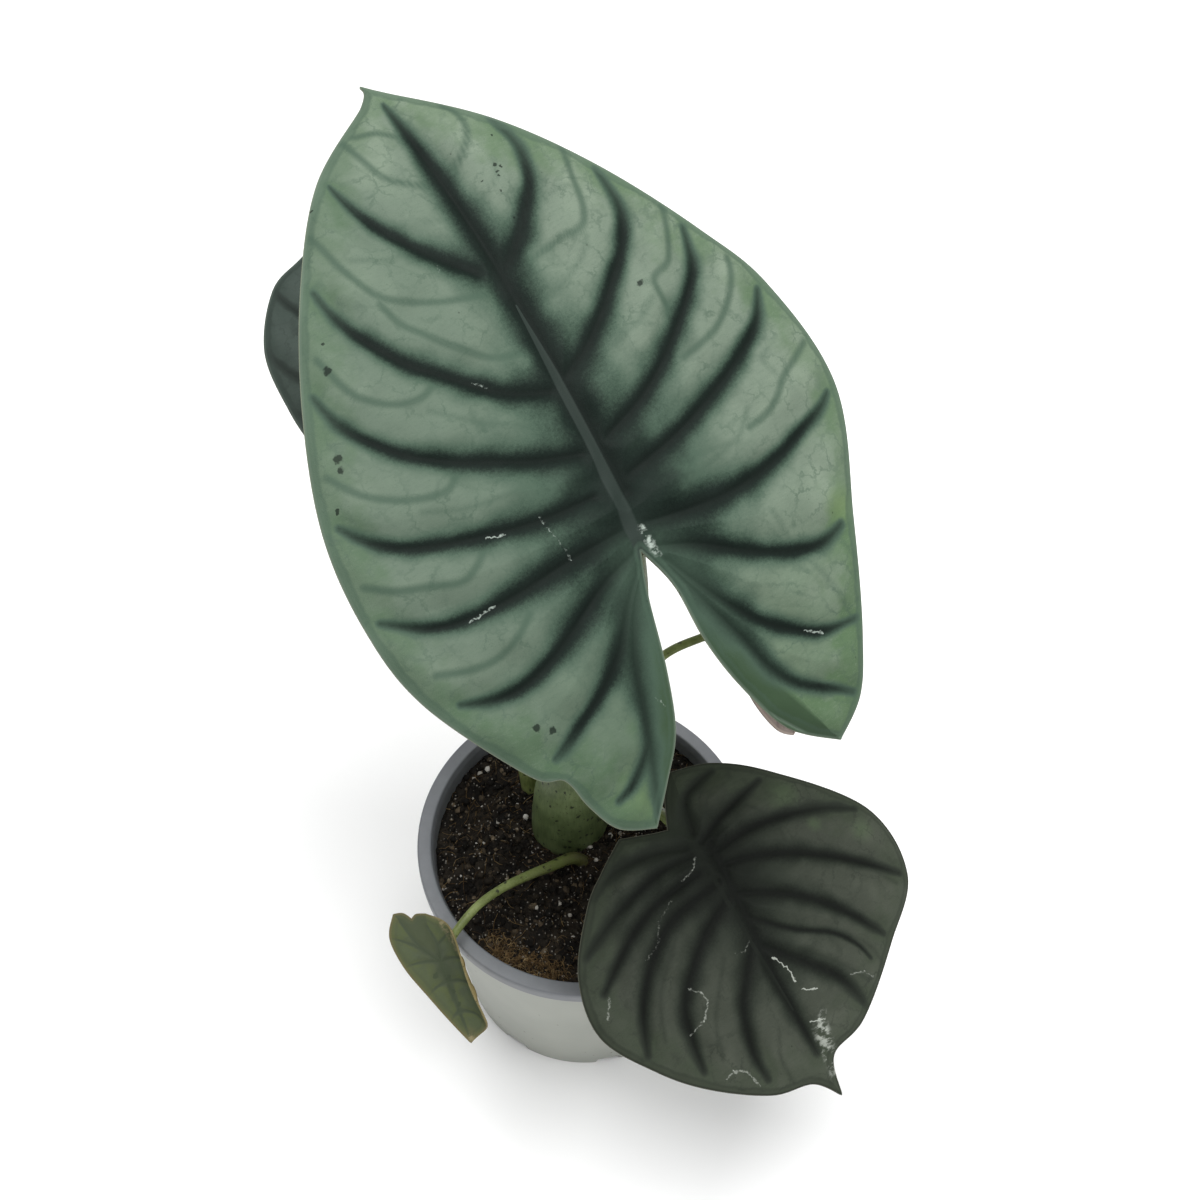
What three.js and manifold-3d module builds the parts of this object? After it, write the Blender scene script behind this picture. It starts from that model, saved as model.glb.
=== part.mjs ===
// A black diamond alocasia in its grower's pot.
// Units are millimetres and +Z is up. The origin is the middle of the pot's base, on the surface it stands on,
// and -Y is the side that the plant is looked at from.
import * as THREE from 'three';
import { mergeVertices } from 'three/addons/utils/BufferGeometryUtils.js';
import Module from 'manifold-3d';

const wasm = await Module();
wasm.setup();

// Clearance between pieces that touch.
const GAP = 0.3;

// The pot, a thin moulded cone with a flat rim and a short skirt.
const POT = {
  height: 100,
  baseRadius: 48,
  wallTopRadius: 55.6,
  rimRadius: 60,
  rimBore: 55,
  rimThick: 1.5,
  skirtDrop: 6,
  skirtThick: 1.5,
  skirtDraft: 0.3,
  edge: 0.5,
  wall: 1.4,
  floor: 1.6,
  sides: 60,
};
const DRAIN = { count: 8, width: 9, height: 3.4, reach: 9, overhang: 2, turn: 11 };

// The potting mix fills the pot to a little under the rim and mounds slightly round the stem.
const SOIL = { level: 91, mound: 2.5, relief: 1.3, rings: 13, wallGap: 0.4, footEdge: 2, footInset: 1 };

// Blades are a little thicker than the real leaf, so that they hold as solids.
const BLADE_THICK = 0.8;

// Each stem is a list of places on its middle line, with its radius there.
// The leaf stalks stand in the mix round the swollen sheath of the largest leaf.
const STEMS = {
  stem_and_large_petiole: {
    sides: 16,
    steps: 34,
    path: [
      [-5, 10, 60, 11], [-5, 10, 72, 14], [-5, 10, 92, 14], [-5, 10, 108, 13.2], [-4, 10, 126, 11.5],
      [1, 9, 148, 6.5], [8, 7, 176, 3.6], [15, 4, 212, 2.4], [18, 1.5, 246, 1.9], [16.6, 2, 272.3, 1.8],
    ],
  },
  petiole_dark_leaf: {
    sides: 10,
    steps: 16,
    path: [
      [14, 12, 78, 3.4], [14.5, 12, 92, 3.3], [18, 7.5, 112, 2.5], [24, -3, 129, 2.1], [31, -15.5, 139, 1.9],
      [37.6, -27.4, 142.9, 1.8],
    ],
  },
  petiole_small_leaf: {
    sides: 10,
    steps: 20,
    path: [
      [2, -6.5, 78, 2.6], [1.5, -7, 90, 2.6], [-3.4, -7.8, 99, 2.2], [-11.9, -13.2, 103, 1.8],
      [-20.4, -18.7, 106.5, 1.6], [-28.6, -24, 108, 1.5], [-36.7, -30.9, 108.5, 1.45], [-44, -39.5, 106, 1.4],
      [-49, -47.6, 101.6, 1.4],
    ],
  },
  petiole_back_leaf: {
    sides: 10,
    steps: 16,
    path: [
      [-18, 23, 78, 4], [-19, 24, 92, 4], [-24, 33, 124, 3], [-34, 51, 160, 2.2], [-48, 73, 190, 1.9],
      [-59.2, 90.6, 212.2, 1.8],
    ],
  },
  petiole_young_leaf: {
    sides: 10,
    steps: 18,
    path: [
      [9, 23, 80, 3], [10, 24, 92, 2.8], [13, 28, 120, 2], [18, 32, 148, 1.7], [27, 35.5, 165, 1.6],
      [40, 37, 174.5, 1.5], [53.7, 38.8, 178.6, 1.4],
    ],
  },
};

// A leaf is laid out flat in millimetres, across and along from where its stalk joins, with the tip along.
// rest: that joining place. heading: the compass turn of the tip, anticlockwise from +Y. rise: the midrib's
// slope there. tipDroop and lobeDroop: how far the midrib bends down towards the tip and the lobes.
// cup: how far each half is raised, marginRoll: how far it then rolls down by halfWidth. quilt: how far the
// panels between the main veins stand up.
// outer: stations on the margin from tip to lobe, as across, along, distance up the rib that the leaf's grain
// runs from (negative down the lobe), bow of that line, and 1 where the line is a main vein. Both halves leave
// the midrib, and start down their lobes, at the same distances.
// inner: margin stations from the lobe's end back to the notch, at even steps along the lobe's rib.
const LEAVES = {
  blade_large: {
    rest: [16, 2, 275], heading: 35, rise: 33, tipDroop: 22, lobeDroop: 18,
    cup: [8, 8], marginRoll: [18, 18], halfWidth: 80, quilt: 1.6, rows: 3, columns: 8,
    midrib: [[0, 0], [3, 40], [6, 90], [4, 156]],
    left: {
      lobeRib: [[0, 0], [-9, -9], [-18, -27], [-25, -48], [-32, -70]],
      outer: [
        [4, 156, 156, 0, 1], [1, 150, 140, 0, 0], [-25, 131, 87, 0.12, 1], [-46, 104, 47, 0.15, 1],
        [-63, 74, 26, 0.12, 1], [-75, 43, 14, 0.09, 1], [-78, 15, 6, 0.09, 1], [-74, -10, 0, 0.13, 1],
        [-58, -40, -14, 0.08, 1], [-50, -46, -32, 0.08, 0], [-47, -56, -48, 0.1, 1], [-42, -66, -64, 0.05, 0],
        [-32, -72, -77, 0, 1],
      ],
      inner: [[-32, -72], [-23.5, -61.5], [-15.5, -51], [-10, -35], [-5, -15], [0, -2]],
    },
    right: {
      lobeRib: [[0, 0], [4, -9], [11, -30], [18, -48], [29, -77]],
      outer: [
        [4, 156, 156, 0, 1], [10, 149, 140, 0, 0], [31, 127, 87, 0.16, 1], [49, 101, 47, 0.14, 1],
        [66, 70, 26, 0.07, 1], [76, 47, 14, 0.09, 1], [79, 12, 6, 0.13, 1], [63, -24, 0, 0.09, 1],
        [50, -55, -14, 0.12, 1], [42, -71, -42, 0.07, 1], [31, -80, -82, 0, 1],
      ],
      inner: [[31, -80], [17, -68], [9, -50], [5, -33], [4, -15], [0, -2]],
    },
  },
  blade_dark: {
    rest: [38, -28, 145], heading: -145, rise: -20, tipDroop: 18, lobeDroop: 14,
    cup: [4, 4], marginRoll: [20, 20], halfWidth: 60, quilt: 1.0, rows: 3, columns: 6,
    midrib: [[0, 0], [3, 25], [1, 55], [-1, 93]],
    left: {
      lobeRib: [[0, 0], [-3, -8], [-6, -20]],
      outer: [
        [-1, 93, 93, 0, 1], [-5, 80, 68, 0, 0], [-20, 76, 40, 0.16, 1], [-43, 61, 21, 0.13, 1],
        [-63, 46, 11, 0.11, 1], [-63, 20, 4, 0.1, 1], [-38, -9, 0, 0.1, 1], [-22, -22, -7, 0.1, 1],
        [-8, -27, -21, 0, 1],
      ],
      inner: [[-8, -27], [-3, -23], [1, -17], [4.5, -11]],
    },
    right: {
      lobeRib: [[0, 0], [8, -8], [17, -14]],
      outer: [
        [-1, 93, 93, 0, 1], [6, 84, 68, 0, 0], [20, 79, 40, 0.08, 1], [37, 66, 21, 0.12, 1],
        [49, 52, 11, 0.07, 1], [59, 33, 4, 0.08, 1], [55, 13, 0, 0.06, 1], [41, -4, -7, 0.06, 1],
        [31, -11, -13, 0.05, 0], [20, -17, -22, 0, 1],
      ],
      inner: [[20, -17], [14, -14.5], [9, -12.5], [4.5, -11]],
    },
  },
  blade_back: {
    rest: [-59, 90, 215], heading: 20, rise: 22, tipDroop: 20, lobeDroop: 14,
    cup: [6, 6], marginRoll: [14, 14], halfWidth: 38, quilt: 0.8, rows: 3, columns: 5,
    midrib: [[0, 0], [2, 40], [0, 88]],
    left: {
      lobeRib: [[0, 0], [-5, -11], [-13, -28]],
      outer: [
        [0, 88, 88, 0, 1], [-15, 77, 60, 0.1, 0], [-27, 67, 42, 0.12, 1], [-36, 44, 18, 0.12, 1],
        [-34, 20, 6, 0.1, 1], [-29, 2, 0, 0.08, 1], [-23, -16, -12, 0.08, 1], [-14, -31, -31, 0, 1],
      ],
      inner: [[-14, -31], [-7, -23], [-3, -12], [0, -3]],
    },
    right: {
      lobeRib: [[0, 0], [5, -11], [13, -28]],
      outer: [
        [0, 88, 88, 0, 1], [15, 77, 60, 0.1, 0], [27, 66, 42, 0.12, 1], [36, 42, 18, 0.12, 1],
        [35, 19, 6, 0.1, 1], [30, 1, 0, 0.08, 1], [23, -16, -12, 0.08, 1], [14, -31, -31, 0, 1],
      ],
      inner: [[14, -31], [7, -23], [3, -12], [0, -3]],
    },
  },
  blade_young: {
    rest: [54.5, 38, 180], heading: -137, rise: -42, tipDroop: 26, lobeDroop: 30,
    cup: [22, 22], marginRoll: [10, 10], halfWidth: 15, quilt: 0.4, rows: 2, columns: 4,
    midrib: [[0, 0], [0, 24], [0, 47]],
    left: {
      lobeRib: [[0, 0], [-4, -6], [-7, -14]],
      outer: [
        [0, 47, 47, 0, 1], [-8, 37, 28, 0.1, 1], [-13, 22, 12, 0.1, 1], [-14, 6, 0, 0.08, 1],
        [-12, -6, -7, 0.05, 1], [-7, -16, -15, 0, 1],
      ],
      inner: [[-7, -16], [-4, -12], [-2, -7], [0, -2]],
    },
    right: {
      lobeRib: [[0, 0], [4, -6], [7, -14]],
      outer: [
        [0, 47, 47, 0, 1], [8, 37, 28, 0.1, 1], [13, 22, 12, 0.1, 1], [13, 6, 0, 0.08, 1],
        [11, -6, -7, 0.05, 1], [7, -16, -15, 0, 1],
      ],
      inner: [[7, -16], [4, -12], [2, -7], [0, -2]],
    },
  },
  blade_small: {
    rest: [-48.5, -49.3, 104], heading: -155, rise: -32, tipDroop: 10, lobeDroop: 12,
    cup: [-15, 5], marginRoll: [-150, 14], halfWidth: 14, quilt: 0.4, rows: 2, columns: 6,
    midrib: [[0, 0], [0, 15], [0, 30]],
    left: {
      lobeRib: [[0, 0], [-1, -6], [0, -13]],
      outer: [
        [0, 30, 30, 0, 1], [-9, 25, 18, 0.1, 1], [-13, 15, 8, 0.1, 1], [-13, 3, 0, 0.08, 1],
        [-9, -9, -6, 0.05, 1], [-1, -17, -13, 0, 1],
      ],
      inner: [[-1, -17], [2, -18], [4, -17]],
    },
    right: {
      lobeRib: [[0, 0], [5, -8], [8, -18]],
      outer: [
        [0, 30, 30, 0, 1], [4, 20, 18, 0.1, 1], [8, 9, 8, 0.1, 1], [12, -3, 0, 0.08, 1],
        [13, -14, -6, 0.05, 1], [9, -21, -19, 0, 1],
      ],
      inner: [[9, -21], [6, -20], [4, -17]],
    },
  },
};

// Colours and finishes.
const finish = (color, roughness) => new THREE.MeshStandardMaterial({ color, roughness, metalness: 0 });
const FINISHES = {
  pot: finish(0xb9bdb4, 0.5),
  soil: finish(0x2a221c, 0.95),
  petiole: finish(0x8f9a63, 0.5),
  blade_large: finish(0x7c8f80, 0.5),
  blade_dark: finish(0x3a413a, 0.55),
  blade_back: finish(0x5d6a62, 0.55),
  blade_young: finish(0x86776f, 0.55),
  blade_small: finish(0x5e6a52, 0.6),
};

// A value that passes through rows of numbers at whole steps of u, by a Catmull-Rom curve.
function through(rows, u) {
  const last = rows.length - 1;
  const step = Math.min(Math.floor(u), last - 1);
  const f = u - step;
  const before = rows[Math.max(step - 1, 0)];
  const from = rows[step];
  const to = rows[step + 1];
  const after = rows[Math.min(step + 2, last)];
  return from.map((value, i) => {
    const leave = (to[i] - before[i]) / 2;
    const arrive = (after[i] - value) / 2;
    const turn = to[i] - value;
    return value + f * (leave + f * (3 * turn - 2 * leave - arrive + f * (leave + arrive - 2 * turn)));
  });
}

// The place on a rib at a fraction of its length.
const onRib = (rib, fraction) => through(rib, fraction * (rib.length - 1));

// Turns a flat place on the leaf, raised by lift, into its place in the plant.
// The midrib is one arc towards the tip and one towards the lobes, and each half is an arc across it.
function bend(leaf, across, along, lift) {
  const rad = THREE.MathUtils.degToRad;
  const side = across < 0 ? 0 : 1;
  const tipLength = leaf.midrib.at(-1)[1];
  const lobeLength = -Math.min(...leaf.left.outer.map((s) => s[1]));
  const curve = along < 0 ? rad(leaf.lobeDroop) / lobeLength : rad(leaf.tipDroop) / tipLength;
  const start = rad(leaf.rise);
  const slope = start - curve * along;
  const forward = (Math.sin(start) - Math.sin(slope)) / curve;
  const up = (Math.cos(slope) - Math.cos(start)) / curve;
  const cup = rad(leaf.cup[side]);
  const roll = rad(leaf.marginRoll[side]) / leaf.halfWidth;
  const tilt = cup - roll * Math.abs(across);
  const sideways = Math.sign(across) * ((Math.sin(cup) - Math.sin(tilt)) / roll - lift * Math.sin(tilt));
  const height = (Math.cos(tilt) - Math.cos(cup)) / roll + lift * Math.cos(tilt);
  const place = new THREE.Vector3(
    sideways,
    forward - height * Math.sin(slope),
    up + height * Math.cos(slope),
  );
  place.applyAxisAngle(new THREE.Vector3(0, 0, 1), rad(leaf.heading));
  return place.add(new THREE.Vector3(...leaf.rest));
}

// One line of the leaf's grain, from the rib to the margin, as flat places raised by the quilting.
function grainLine(leaf, from, to, bow, hand, swell) {
  const line = [];
  for (let column = 0; column <= leaf.columns; column += 1) {
    const t = column / leaf.columns;
    const sag = 4 * t * (1 - t) * bow * hand;
    const lift = leaf.quilt * swell * Math.sin(Math.PI * t ** 0.8);
    line.push([
      from[0] + (to[0] - from[0]) * t - (to[1] - from[1]) * sag,
      from[1] + (to[1] - from[1]) * t + (to[0] - from[0]) * sag,
      lift,
    ]);
  }
  return line;
}

// The rows of one half: out from tip to lobe, then back along the lobe's rib to the notch.
function halfRows(leaf, half, hand) {
  const stations = half.outer.length - 1;
  const veins = half.outer.map((s, i) => (s[4] ? i : -1)).filter((i) => i >= 0);
  const tipLength = leaf.midrib.at(-1)[1];
  const lobeLength = -half.outer.at(-1)[2];
  const rows = [];
  const lobeFractions = [];
  for (let row = 0; row <= stations * leaf.rows; row += 1) {
    const u = row / leaf.rows;
    const [x, y, rib, bow] = through(half.outer, u);
    const next = veins.findIndex((i) => i >= u);
    const phase = next < 1 ? 0 : (u - veins[next - 1]) / (veins[next] - veins[next - 1]);
    const fraction = Math.abs(rib) < 1e-6 ? 0 : Math.min(Math.abs(rib) / (rib > 0 ? tipLength : lobeLength), 1);
    const from = rib >= 0 ? onRib(leaf.midrib, fraction) : onRib(half.lobeRib, fraction);
    if (rib <= 1e-6) lobeFractions.push(fraction);
    rows.push(grainLine(leaf, from, [x, y], bow, hand, Math.sin(Math.PI * phase) ** 2));
  }
  for (const fraction of lobeFractions.slice(0, -1).reverse()) {
    const to = through(half.inner, (1 - fraction) * (half.inner.length - 1));
    rows.push(grainLine(leaf, onRib(half.lobeRib, fraction), to, 0, hand, 0));
  }
  return rows;
}

// The whole blade as flat places and triangles, with the two halves joined along the midrib.
function flatBlade(leaf) {
  const places = [];
  const triangles = [];
  const known = new Map();
  const index = (place) => {
    const key = `${place[0].toFixed(3)} ${place[1].toFixed(3)}`;
    if (!known.has(key)) {
      known.set(key, places.length);
      places.push(place);
    }
    return known.get(key);
  };
  const addTriangle = (a, b, c, flip) => {
    if (a === b || b === c || c === a) return;
    triangles.push(flip ? [a, c, b] : [a, b, c]);
  };
  for (const [half, hand] of [[leaf.left, 1], [leaf.right, -1]]) {
    const rows = halfRows(leaf, half, hand).map((row) => row.map(index));
    for (let i = 1; i < rows.length; i += 1) {
      for (let j = 1; j < rows[i].length; j += 1) {
        addTriangle(rows[i - 1][j - 1], rows[i - 1][j], rows[i][j], hand < 0);
        addTriangle(rows[i - 1][j - 1], rows[i][j], rows[i][j - 1], hand < 0);
      }
    }
  }
  return { places, triangles };
}

// A closed blade: the flat layout bent twice, half the thickness up and down, with a strip round the edge.
function bladeGeometry(leaf) {
  const { places, triangles } = flatBlade(leaf);
  const count = places.length;
  const positions = [];
  for (const shift of [BLADE_THICK / 2, -BLADE_THICK / 2]) {
    for (const [across, along, lift] of places) {
      positions.push(...bend(leaf, across, along, lift + shift).toArray());
    }
  }
  const edges = new Map();
  const faces = [];
  for (const [a, b, c] of triangles) {
    faces.push(a, b, c, a + count, c + count, b + count);
    for (const [from, to] of [[a, b], [b, c], [c, a]]) {
      if (!edges.delete(`${to} ${from}`)) edges.set(`${from} ${to}`, [from, to]);
    }
  }
  for (const [from, to] of edges.values()) {
    faces.push(from, from + count, to, to, from + count, to + count);
  }
  return outward(indexed(positions, faces));
}

// A round stem along its path, closed at both ends, with its radius following the path's last value.
// grow makes it thicker and its foot deeper, for the hole it stands in.
function stemGeometry({ path, sides, steps }, grow = 0) {
  const foot = path[0].map((value, i) => (i === 2 ? value - grow : value));
  const frames = frameAlong([foot, ...path.slice(1)], steps);
  const positions = [];
  const faces = [];
  frames.forEach(({ place, right, over, radius }) => {
    for (let side = 0; side < sides; side += 1) {
      const angle = (2 * Math.PI * side) / sides;
      const spoke = right.clone().multiplyScalar(Math.cos(angle)).addScaledVector(over, Math.sin(angle));
      positions.push(...place.clone().addScaledVector(spoke, radius + grow).toArray());
    }
  });
  for (let step = 0; step < steps; step += 1) {
    for (let side = 0; side < sides; side += 1) {
      const a = step * sides + side;
      const b = step * sides + ((side + 1) % sides);
      faces.push(a, b, b + sides, a, b + sides, a + sides);
    }
  }
  const bottom = positions.length / 3;
  positions.push(...frames[0].place.toArray(), ...frames[steps].place.toArray());
  for (let side = 0; side < sides; side += 1) {
    const next = (side + 1) % sides;
    faces.push(bottom, next, side, bottom + 1, steps * sides + side, steps * sides + next);
  }
  return outward(indexed(positions, faces));
}

// Places, side directions and radii at even steps of a path, turned as little as possible from step to step.
function frameAlong(path, steps) {
  const frames = [];
  let right = new THREE.Vector3(1, 0, 0);
  for (let step = 0; step <= steps; step += 1) {
    const u = ((path.length - 1) * step) / steps;
    const here = through(path, u);
    const ahead = through(path, Math.min(u + 0.01, path.length - 1));
    const behind = through(path, Math.max(u - 0.01, 0));
    const start = new THREE.Vector3(...behind.slice(0, 3));
    const along = new THREE.Vector3(...ahead.slice(0, 3)).sub(start).normalize();
    right = right.clone().addScaledVector(along, -right.dot(along)).normalize();
    const over = along.clone().cross(right);
    frames.push({ place: new THREE.Vector3(...here.slice(0, 3)), right, over, radius: here[3] });
  }
  return frames;
}

// A geometry from positions and corner indices.
function indexed(positions, faces) {
  const geometry = new THREE.BufferGeometry();
  geometry.setAttribute('position', new THREE.Float32BufferAttribute(positions, 3));
  geometry.setIndex(faces);
  return geometry;
}

// Turns a closed geometry the right way out.
function outward(geometry) {
  const corner = geometry.attributes.position;
  const face = geometry.index.array;
  const [a, b, c] = [new THREE.Vector3(), new THREE.Vector3(), new THREE.Vector3()];
  let volume = 0;
  for (let i = 0; i < face.length; i += 3) {
    a.fromBufferAttribute(corner, face[i]);
    b.fromBufferAttribute(corner, face[i + 1]);
    c.fromBufferAttribute(corner, face[i + 2]);
    volume += a.dot(b.cross(c));
  }
  if (volume < 0) face.reverse();
  geometry.computeVertexNormals();
  return geometry;
}

function solid(geometry) {
  const bare = geometry.clone();
  bare.deleteAttribute('normal');
  bare.deleteAttribute('uv');
  const merged = mergeVertices(bare, 1e-4);
  return new wasm.Manifold(new wasm.Mesh({
    numProp: 3,
    vertProperties: new Float32Array(merged.attributes.position.array),
    triVerts: new Uint32Array(merged.index.array),
  }));
}

function geometryOf(body) {
  const mesh = body.getMesh();
  const geometry = indexed(Array.from(mesh.vertProperties), Array.from(mesh.triVerts));
  geometry.computeVertexNormals();
  return geometry;
}

// A lathe turned about Z. Points are radius and height, from axis to axis.
function turned(points, sides) {
  const lathe = new THREE.LatheGeometry(points.map(([r, z]) => new THREE.Vector2(r, z)), sides);
  lathe.rotateX(Math.PI / 2);
  lathe.deleteAttribute('normal');
  lathe.deleteAttribute('uv');
  return outward(mergeVertices(lathe, 1e-4));
}

// Radius of the pot's outer wall at a height.
const wallRadius = (z) => POT.baseRadius + ((POT.wallTopRadius - POT.baseRadius) * z) / POT.height;

function potGeometry() {
  const top = POT.height;
  const under = top - POT.rimThick;
  const skirtFoot = top - POT.skirtDrop;
  const skirtBore = POT.rimRadius - POT.skirtThick;
  const shell = turned([
    [0, 0], [POT.baseRadius - 2 * POT.edge, 0], [POT.baseRadius, 2 * POT.edge], [wallRadius(under), under],
    [skirtBore, under], [skirtBore - POT.skirtDraft, skirtFoot], [POT.rimRadius - POT.skirtDraft, skirtFoot],
    [POT.rimRadius, under], [POT.rimRadius - POT.edge, top], [POT.rimBore, top],
    [wallRadius(under) - POT.wall, under - 2 * POT.edge], [wallRadius(POT.floor) - POT.wall, POT.floor],
    [0, POT.floor],
  ], POT.sides);
  let body = solid(shell);
  for (let i = 0; i < DRAIN.count; i += 1) {
    const slot = new THREE.BoxGeometry(DRAIN.reach, DRAIN.width, DRAIN.height * 2);
    slot.translate(POT.baseRadius - DRAIN.reach / 2 + DRAIN.overhang, 0, 0);
    slot.rotateZ((2 * Math.PI * i) / DRAIN.count + THREE.MathUtils.degToRad(DRAIN.turn));
    body = body.subtract(solid(slot));
  }
  return geometryOf(body);
}

// Height of the mix: a low mound with lumps from crossed waves that fade out at the wall.
function soilHeight(x, y) {
  const reach = Math.hypot(x, y) / POT.rimBore;
  const lumps = Math.sin(x / 3.1 + 1.7 * Math.sin(y / 5.3)) * Math.cos(y / 2.7 + 1.3 * Math.sin(x / 4.1))
    + 0.7 * Math.sin(x / 6.7 - y / 4.9) + 0.5 * Math.cos(x / 9.3 + y / 7.1);
  return SOIL.level + SOIL.mound * (1 - reach * reach) + SOIL.relief * lumps * (1 - reach ** 6);
}

function soilGeometry() {
  const wallAt = (z) => wallRadius(z) - POT.wall - SOIL.wallGap;
  const floor = POT.floor + GAP;
  const plug = turned([
    [0, floor], [wallAt(floor) - SOIL.footInset, floor], [wallAt(floor + SOIL.footEdge), floor + SOIL.footEdge],
    [wallAt(SOIL.level), SOIL.level],
    ...Array.from({ length: SOIL.rings }, (_, i) => {
      const r = wallAt(SOIL.level) * (1 - (i + 1) / (SOIL.rings + 1));
      return [r, SOIL.level];
    }),
    [0, SOIL.level],
  ], POT.sides);
  const corner = plug.attributes.position;
  for (let i = 0; i < corner.count; i += 1) {
    if (corner.getZ(i) > SOIL.level - 0.1) corner.setZ(i, soilHeight(corner.getX(i), corner.getY(i)));
  }
  let body = solid(plug);
  for (const stem of Object.values(STEMS)) {
    body = body.subtract(solid(stemGeometry(stem, GAP)));
  }
  return geometryOf(body);
}

const plant = new THREE.Group();

function add(name, geometry, material) {
  const mesh = new THREE.Mesh(geometry, material);
  mesh.name = name;
  plant.add(mesh);
}

add('pot', potGeometry(), FINISHES.pot);
add('soil', soilGeometry(), FINISHES.soil);
for (const [name, stem] of Object.entries(STEMS)) add(name, stemGeometry(stem), FINISHES.petiole);
for (const [name, leaf] of Object.entries(LEAVES)) add(name, bladeGeometry(leaf), FINISHES[name]);

export default plant;
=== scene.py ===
# %% [markdown]
# # A black diamond alocasia in its grower's pot
# This file dresses a plain solid model of a small potted plant. The solid model gives every piece its size
# and place. Here each leaf, stalk, the potting mix and the pot are built again as fine surfaces, in the same
# frame, and get finishes that show veins, grain, crumbs and wear. Every shape is a formula over a grid of
# numbers.

import bpy
import numpy as np
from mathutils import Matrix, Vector


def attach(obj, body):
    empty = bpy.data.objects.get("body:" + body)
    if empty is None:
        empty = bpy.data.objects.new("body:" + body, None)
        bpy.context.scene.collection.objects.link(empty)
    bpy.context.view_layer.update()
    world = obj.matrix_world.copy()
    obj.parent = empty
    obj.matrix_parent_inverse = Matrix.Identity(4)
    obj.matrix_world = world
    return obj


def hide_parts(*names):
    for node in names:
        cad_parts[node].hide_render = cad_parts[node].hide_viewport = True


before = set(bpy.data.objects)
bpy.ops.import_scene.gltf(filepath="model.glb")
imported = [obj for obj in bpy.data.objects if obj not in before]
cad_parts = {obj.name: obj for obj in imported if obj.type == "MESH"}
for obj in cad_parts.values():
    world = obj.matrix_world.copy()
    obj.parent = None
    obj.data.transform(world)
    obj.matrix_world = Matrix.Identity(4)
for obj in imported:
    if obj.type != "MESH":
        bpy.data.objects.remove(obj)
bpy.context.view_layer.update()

# %% [markdown]
# ## The camera and the light
# The plant was photographed from above and in front, with a short telephoto view. A camera that stands at the
# same place and looks down by the same angle is what lets each piece be compared with the photograph. The
# light is soft and comes from everywhere, with one broad lamp above, so that the leaf's relief shows without
# hard shadows.

# %% The view
MM = 0.001
IMAGE_SIZE = 1200
SENSOR_WIDTH = 36.0
LENS = 51.0
LOOK_DOWN = np.radians(55.4)
EYE = np.array([5.9, -277.5, 652.8])


def show(name, data):
    """A new object at the origin of the scene."""
    thing = bpy.data.objects.new(name, data)
    bpy.context.scene.collection.objects.link(thing)
    return thing


camera = show("view", bpy.data.cameras.new("view"))
camera.data.sensor_width = SENSOR_WIDTH
camera.data.lens = LENS
camera.location = EYE * MM
camera.rotation_euler = (np.pi / 2 - LOOK_DOWN, 0, 0)
bpy.context.scene.camera = camera


def on_level(pixels, level):
    """Where the view's lines through pixels of the photograph meet a level height, in millimetres: each line
    leaves the eye, and is followed until its height is level."""
    pixels = np.atleast_2d(np.asarray(pixels, float))
    focal = LENS / SENSOR_WIDTH * IMAGE_SIZE
    right = (pixels[:, 0] - IMAGE_SIZE / 2) / focal
    up = (IMAGE_SIZE / 2 - pixels[:, 1]) / focal
    ahead = np.array([0, np.cos(LOOK_DOWN), -np.sin(LOOK_DOWN)])
    above = np.array([0, np.sin(LOOK_DOWN), np.cos(LOOK_DOWN)])
    lines = right[:, None] * np.array([1, 0, 0]) + up[:, None] * above + ahead
    reach = (np.asarray(level) - EYE[2]) / lines[:, 2]
    return EYE + reach[:, None] * lines


# %% The lamps and the surroundings
def add_lamp(name, place, target, size, power):
    """A square soft lamp at a place, turned to face a target, both in metres."""
    lamp = show(name, bpy.data.lights.new(name, "AREA"))
    lamp.data.size = size
    lamp.data.energy = power
    lamp.location = place
    direction = Vector(target) - Vector(place)
    lamp.rotation_euler = direction.to_track_quat("-Z", "Y").to_euler()


add_lamp("sky_panel", (0.02, 0.08, 1.4), (0, 0, 0.2), 1.1, 28)
add_lamp("side_panel", (1.1, -0.5, 0.9), (0, 0, 0.15), 1.0, 9)
world = bpy.data.worlds.new("studio")
world.use_nodes = True
world.node_tree.nodes["Background"].inputs["Color"].default_value = (0.97, 0.985, 1.0, 1)
world.node_tree.nodes["Background"].inputs["Strength"].default_value = 0.36
bpy.context.scene.world = world
bpy.context.scene.view_settings.view_transform = "Standard"
print("lamps:", [lamp.name for lamp in bpy.data.lights])

# %% [markdown]
# ## Writing finishes as sums
# A Blender material is a sheet of nodes joined by wires. Long sums are hard to read as nodes and easy to read
# as Python, so one small class stands for a wire and turns +, - and * into Math nodes. Everything else, such
# as noise or a mix of two colours, goes through one method that adds any node, sets it and joins its sockets.


# %% A wire, and a sheet of nodes
class Wire:
    """The number that leaves a node. Sums and products of wires add Math nodes to the same sheet."""

    def __init__(self, sheet, socket):
        self.sheet = sheet
        self.socket = socket

    def math(self, operation, first, second):
        return self.sheet.add("ShaderNodeMath", {"operation": operation}, {0: first, 1: second})

    def __add__(self, other):
        return self.math("ADD", self, other)

    def __sub__(self, other):
        return self.math("SUBTRACT", self, other)

    def __rsub__(self, other):
        return self.math("SUBTRACT", other, self)

    def __mul__(self, other):
        return self.math("MULTIPLY", self, other)

    __radd__ = __add__
    __rmul__ = __mul__


def colour(code):
    """A colour written as six hexadecimal digits, as the linear red, green, blue and alpha that Blender
    counts in."""
    parts = np.array([int(code[i:i + 2], 16) for i in (0, 2, 4)]) / 255
    linear = np.where(parts <= 0.04045, parts / 12.92, ((parts + 0.055) / 1.055) ** 2.4)
    return (*linear.tolist(), 1.0)


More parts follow.
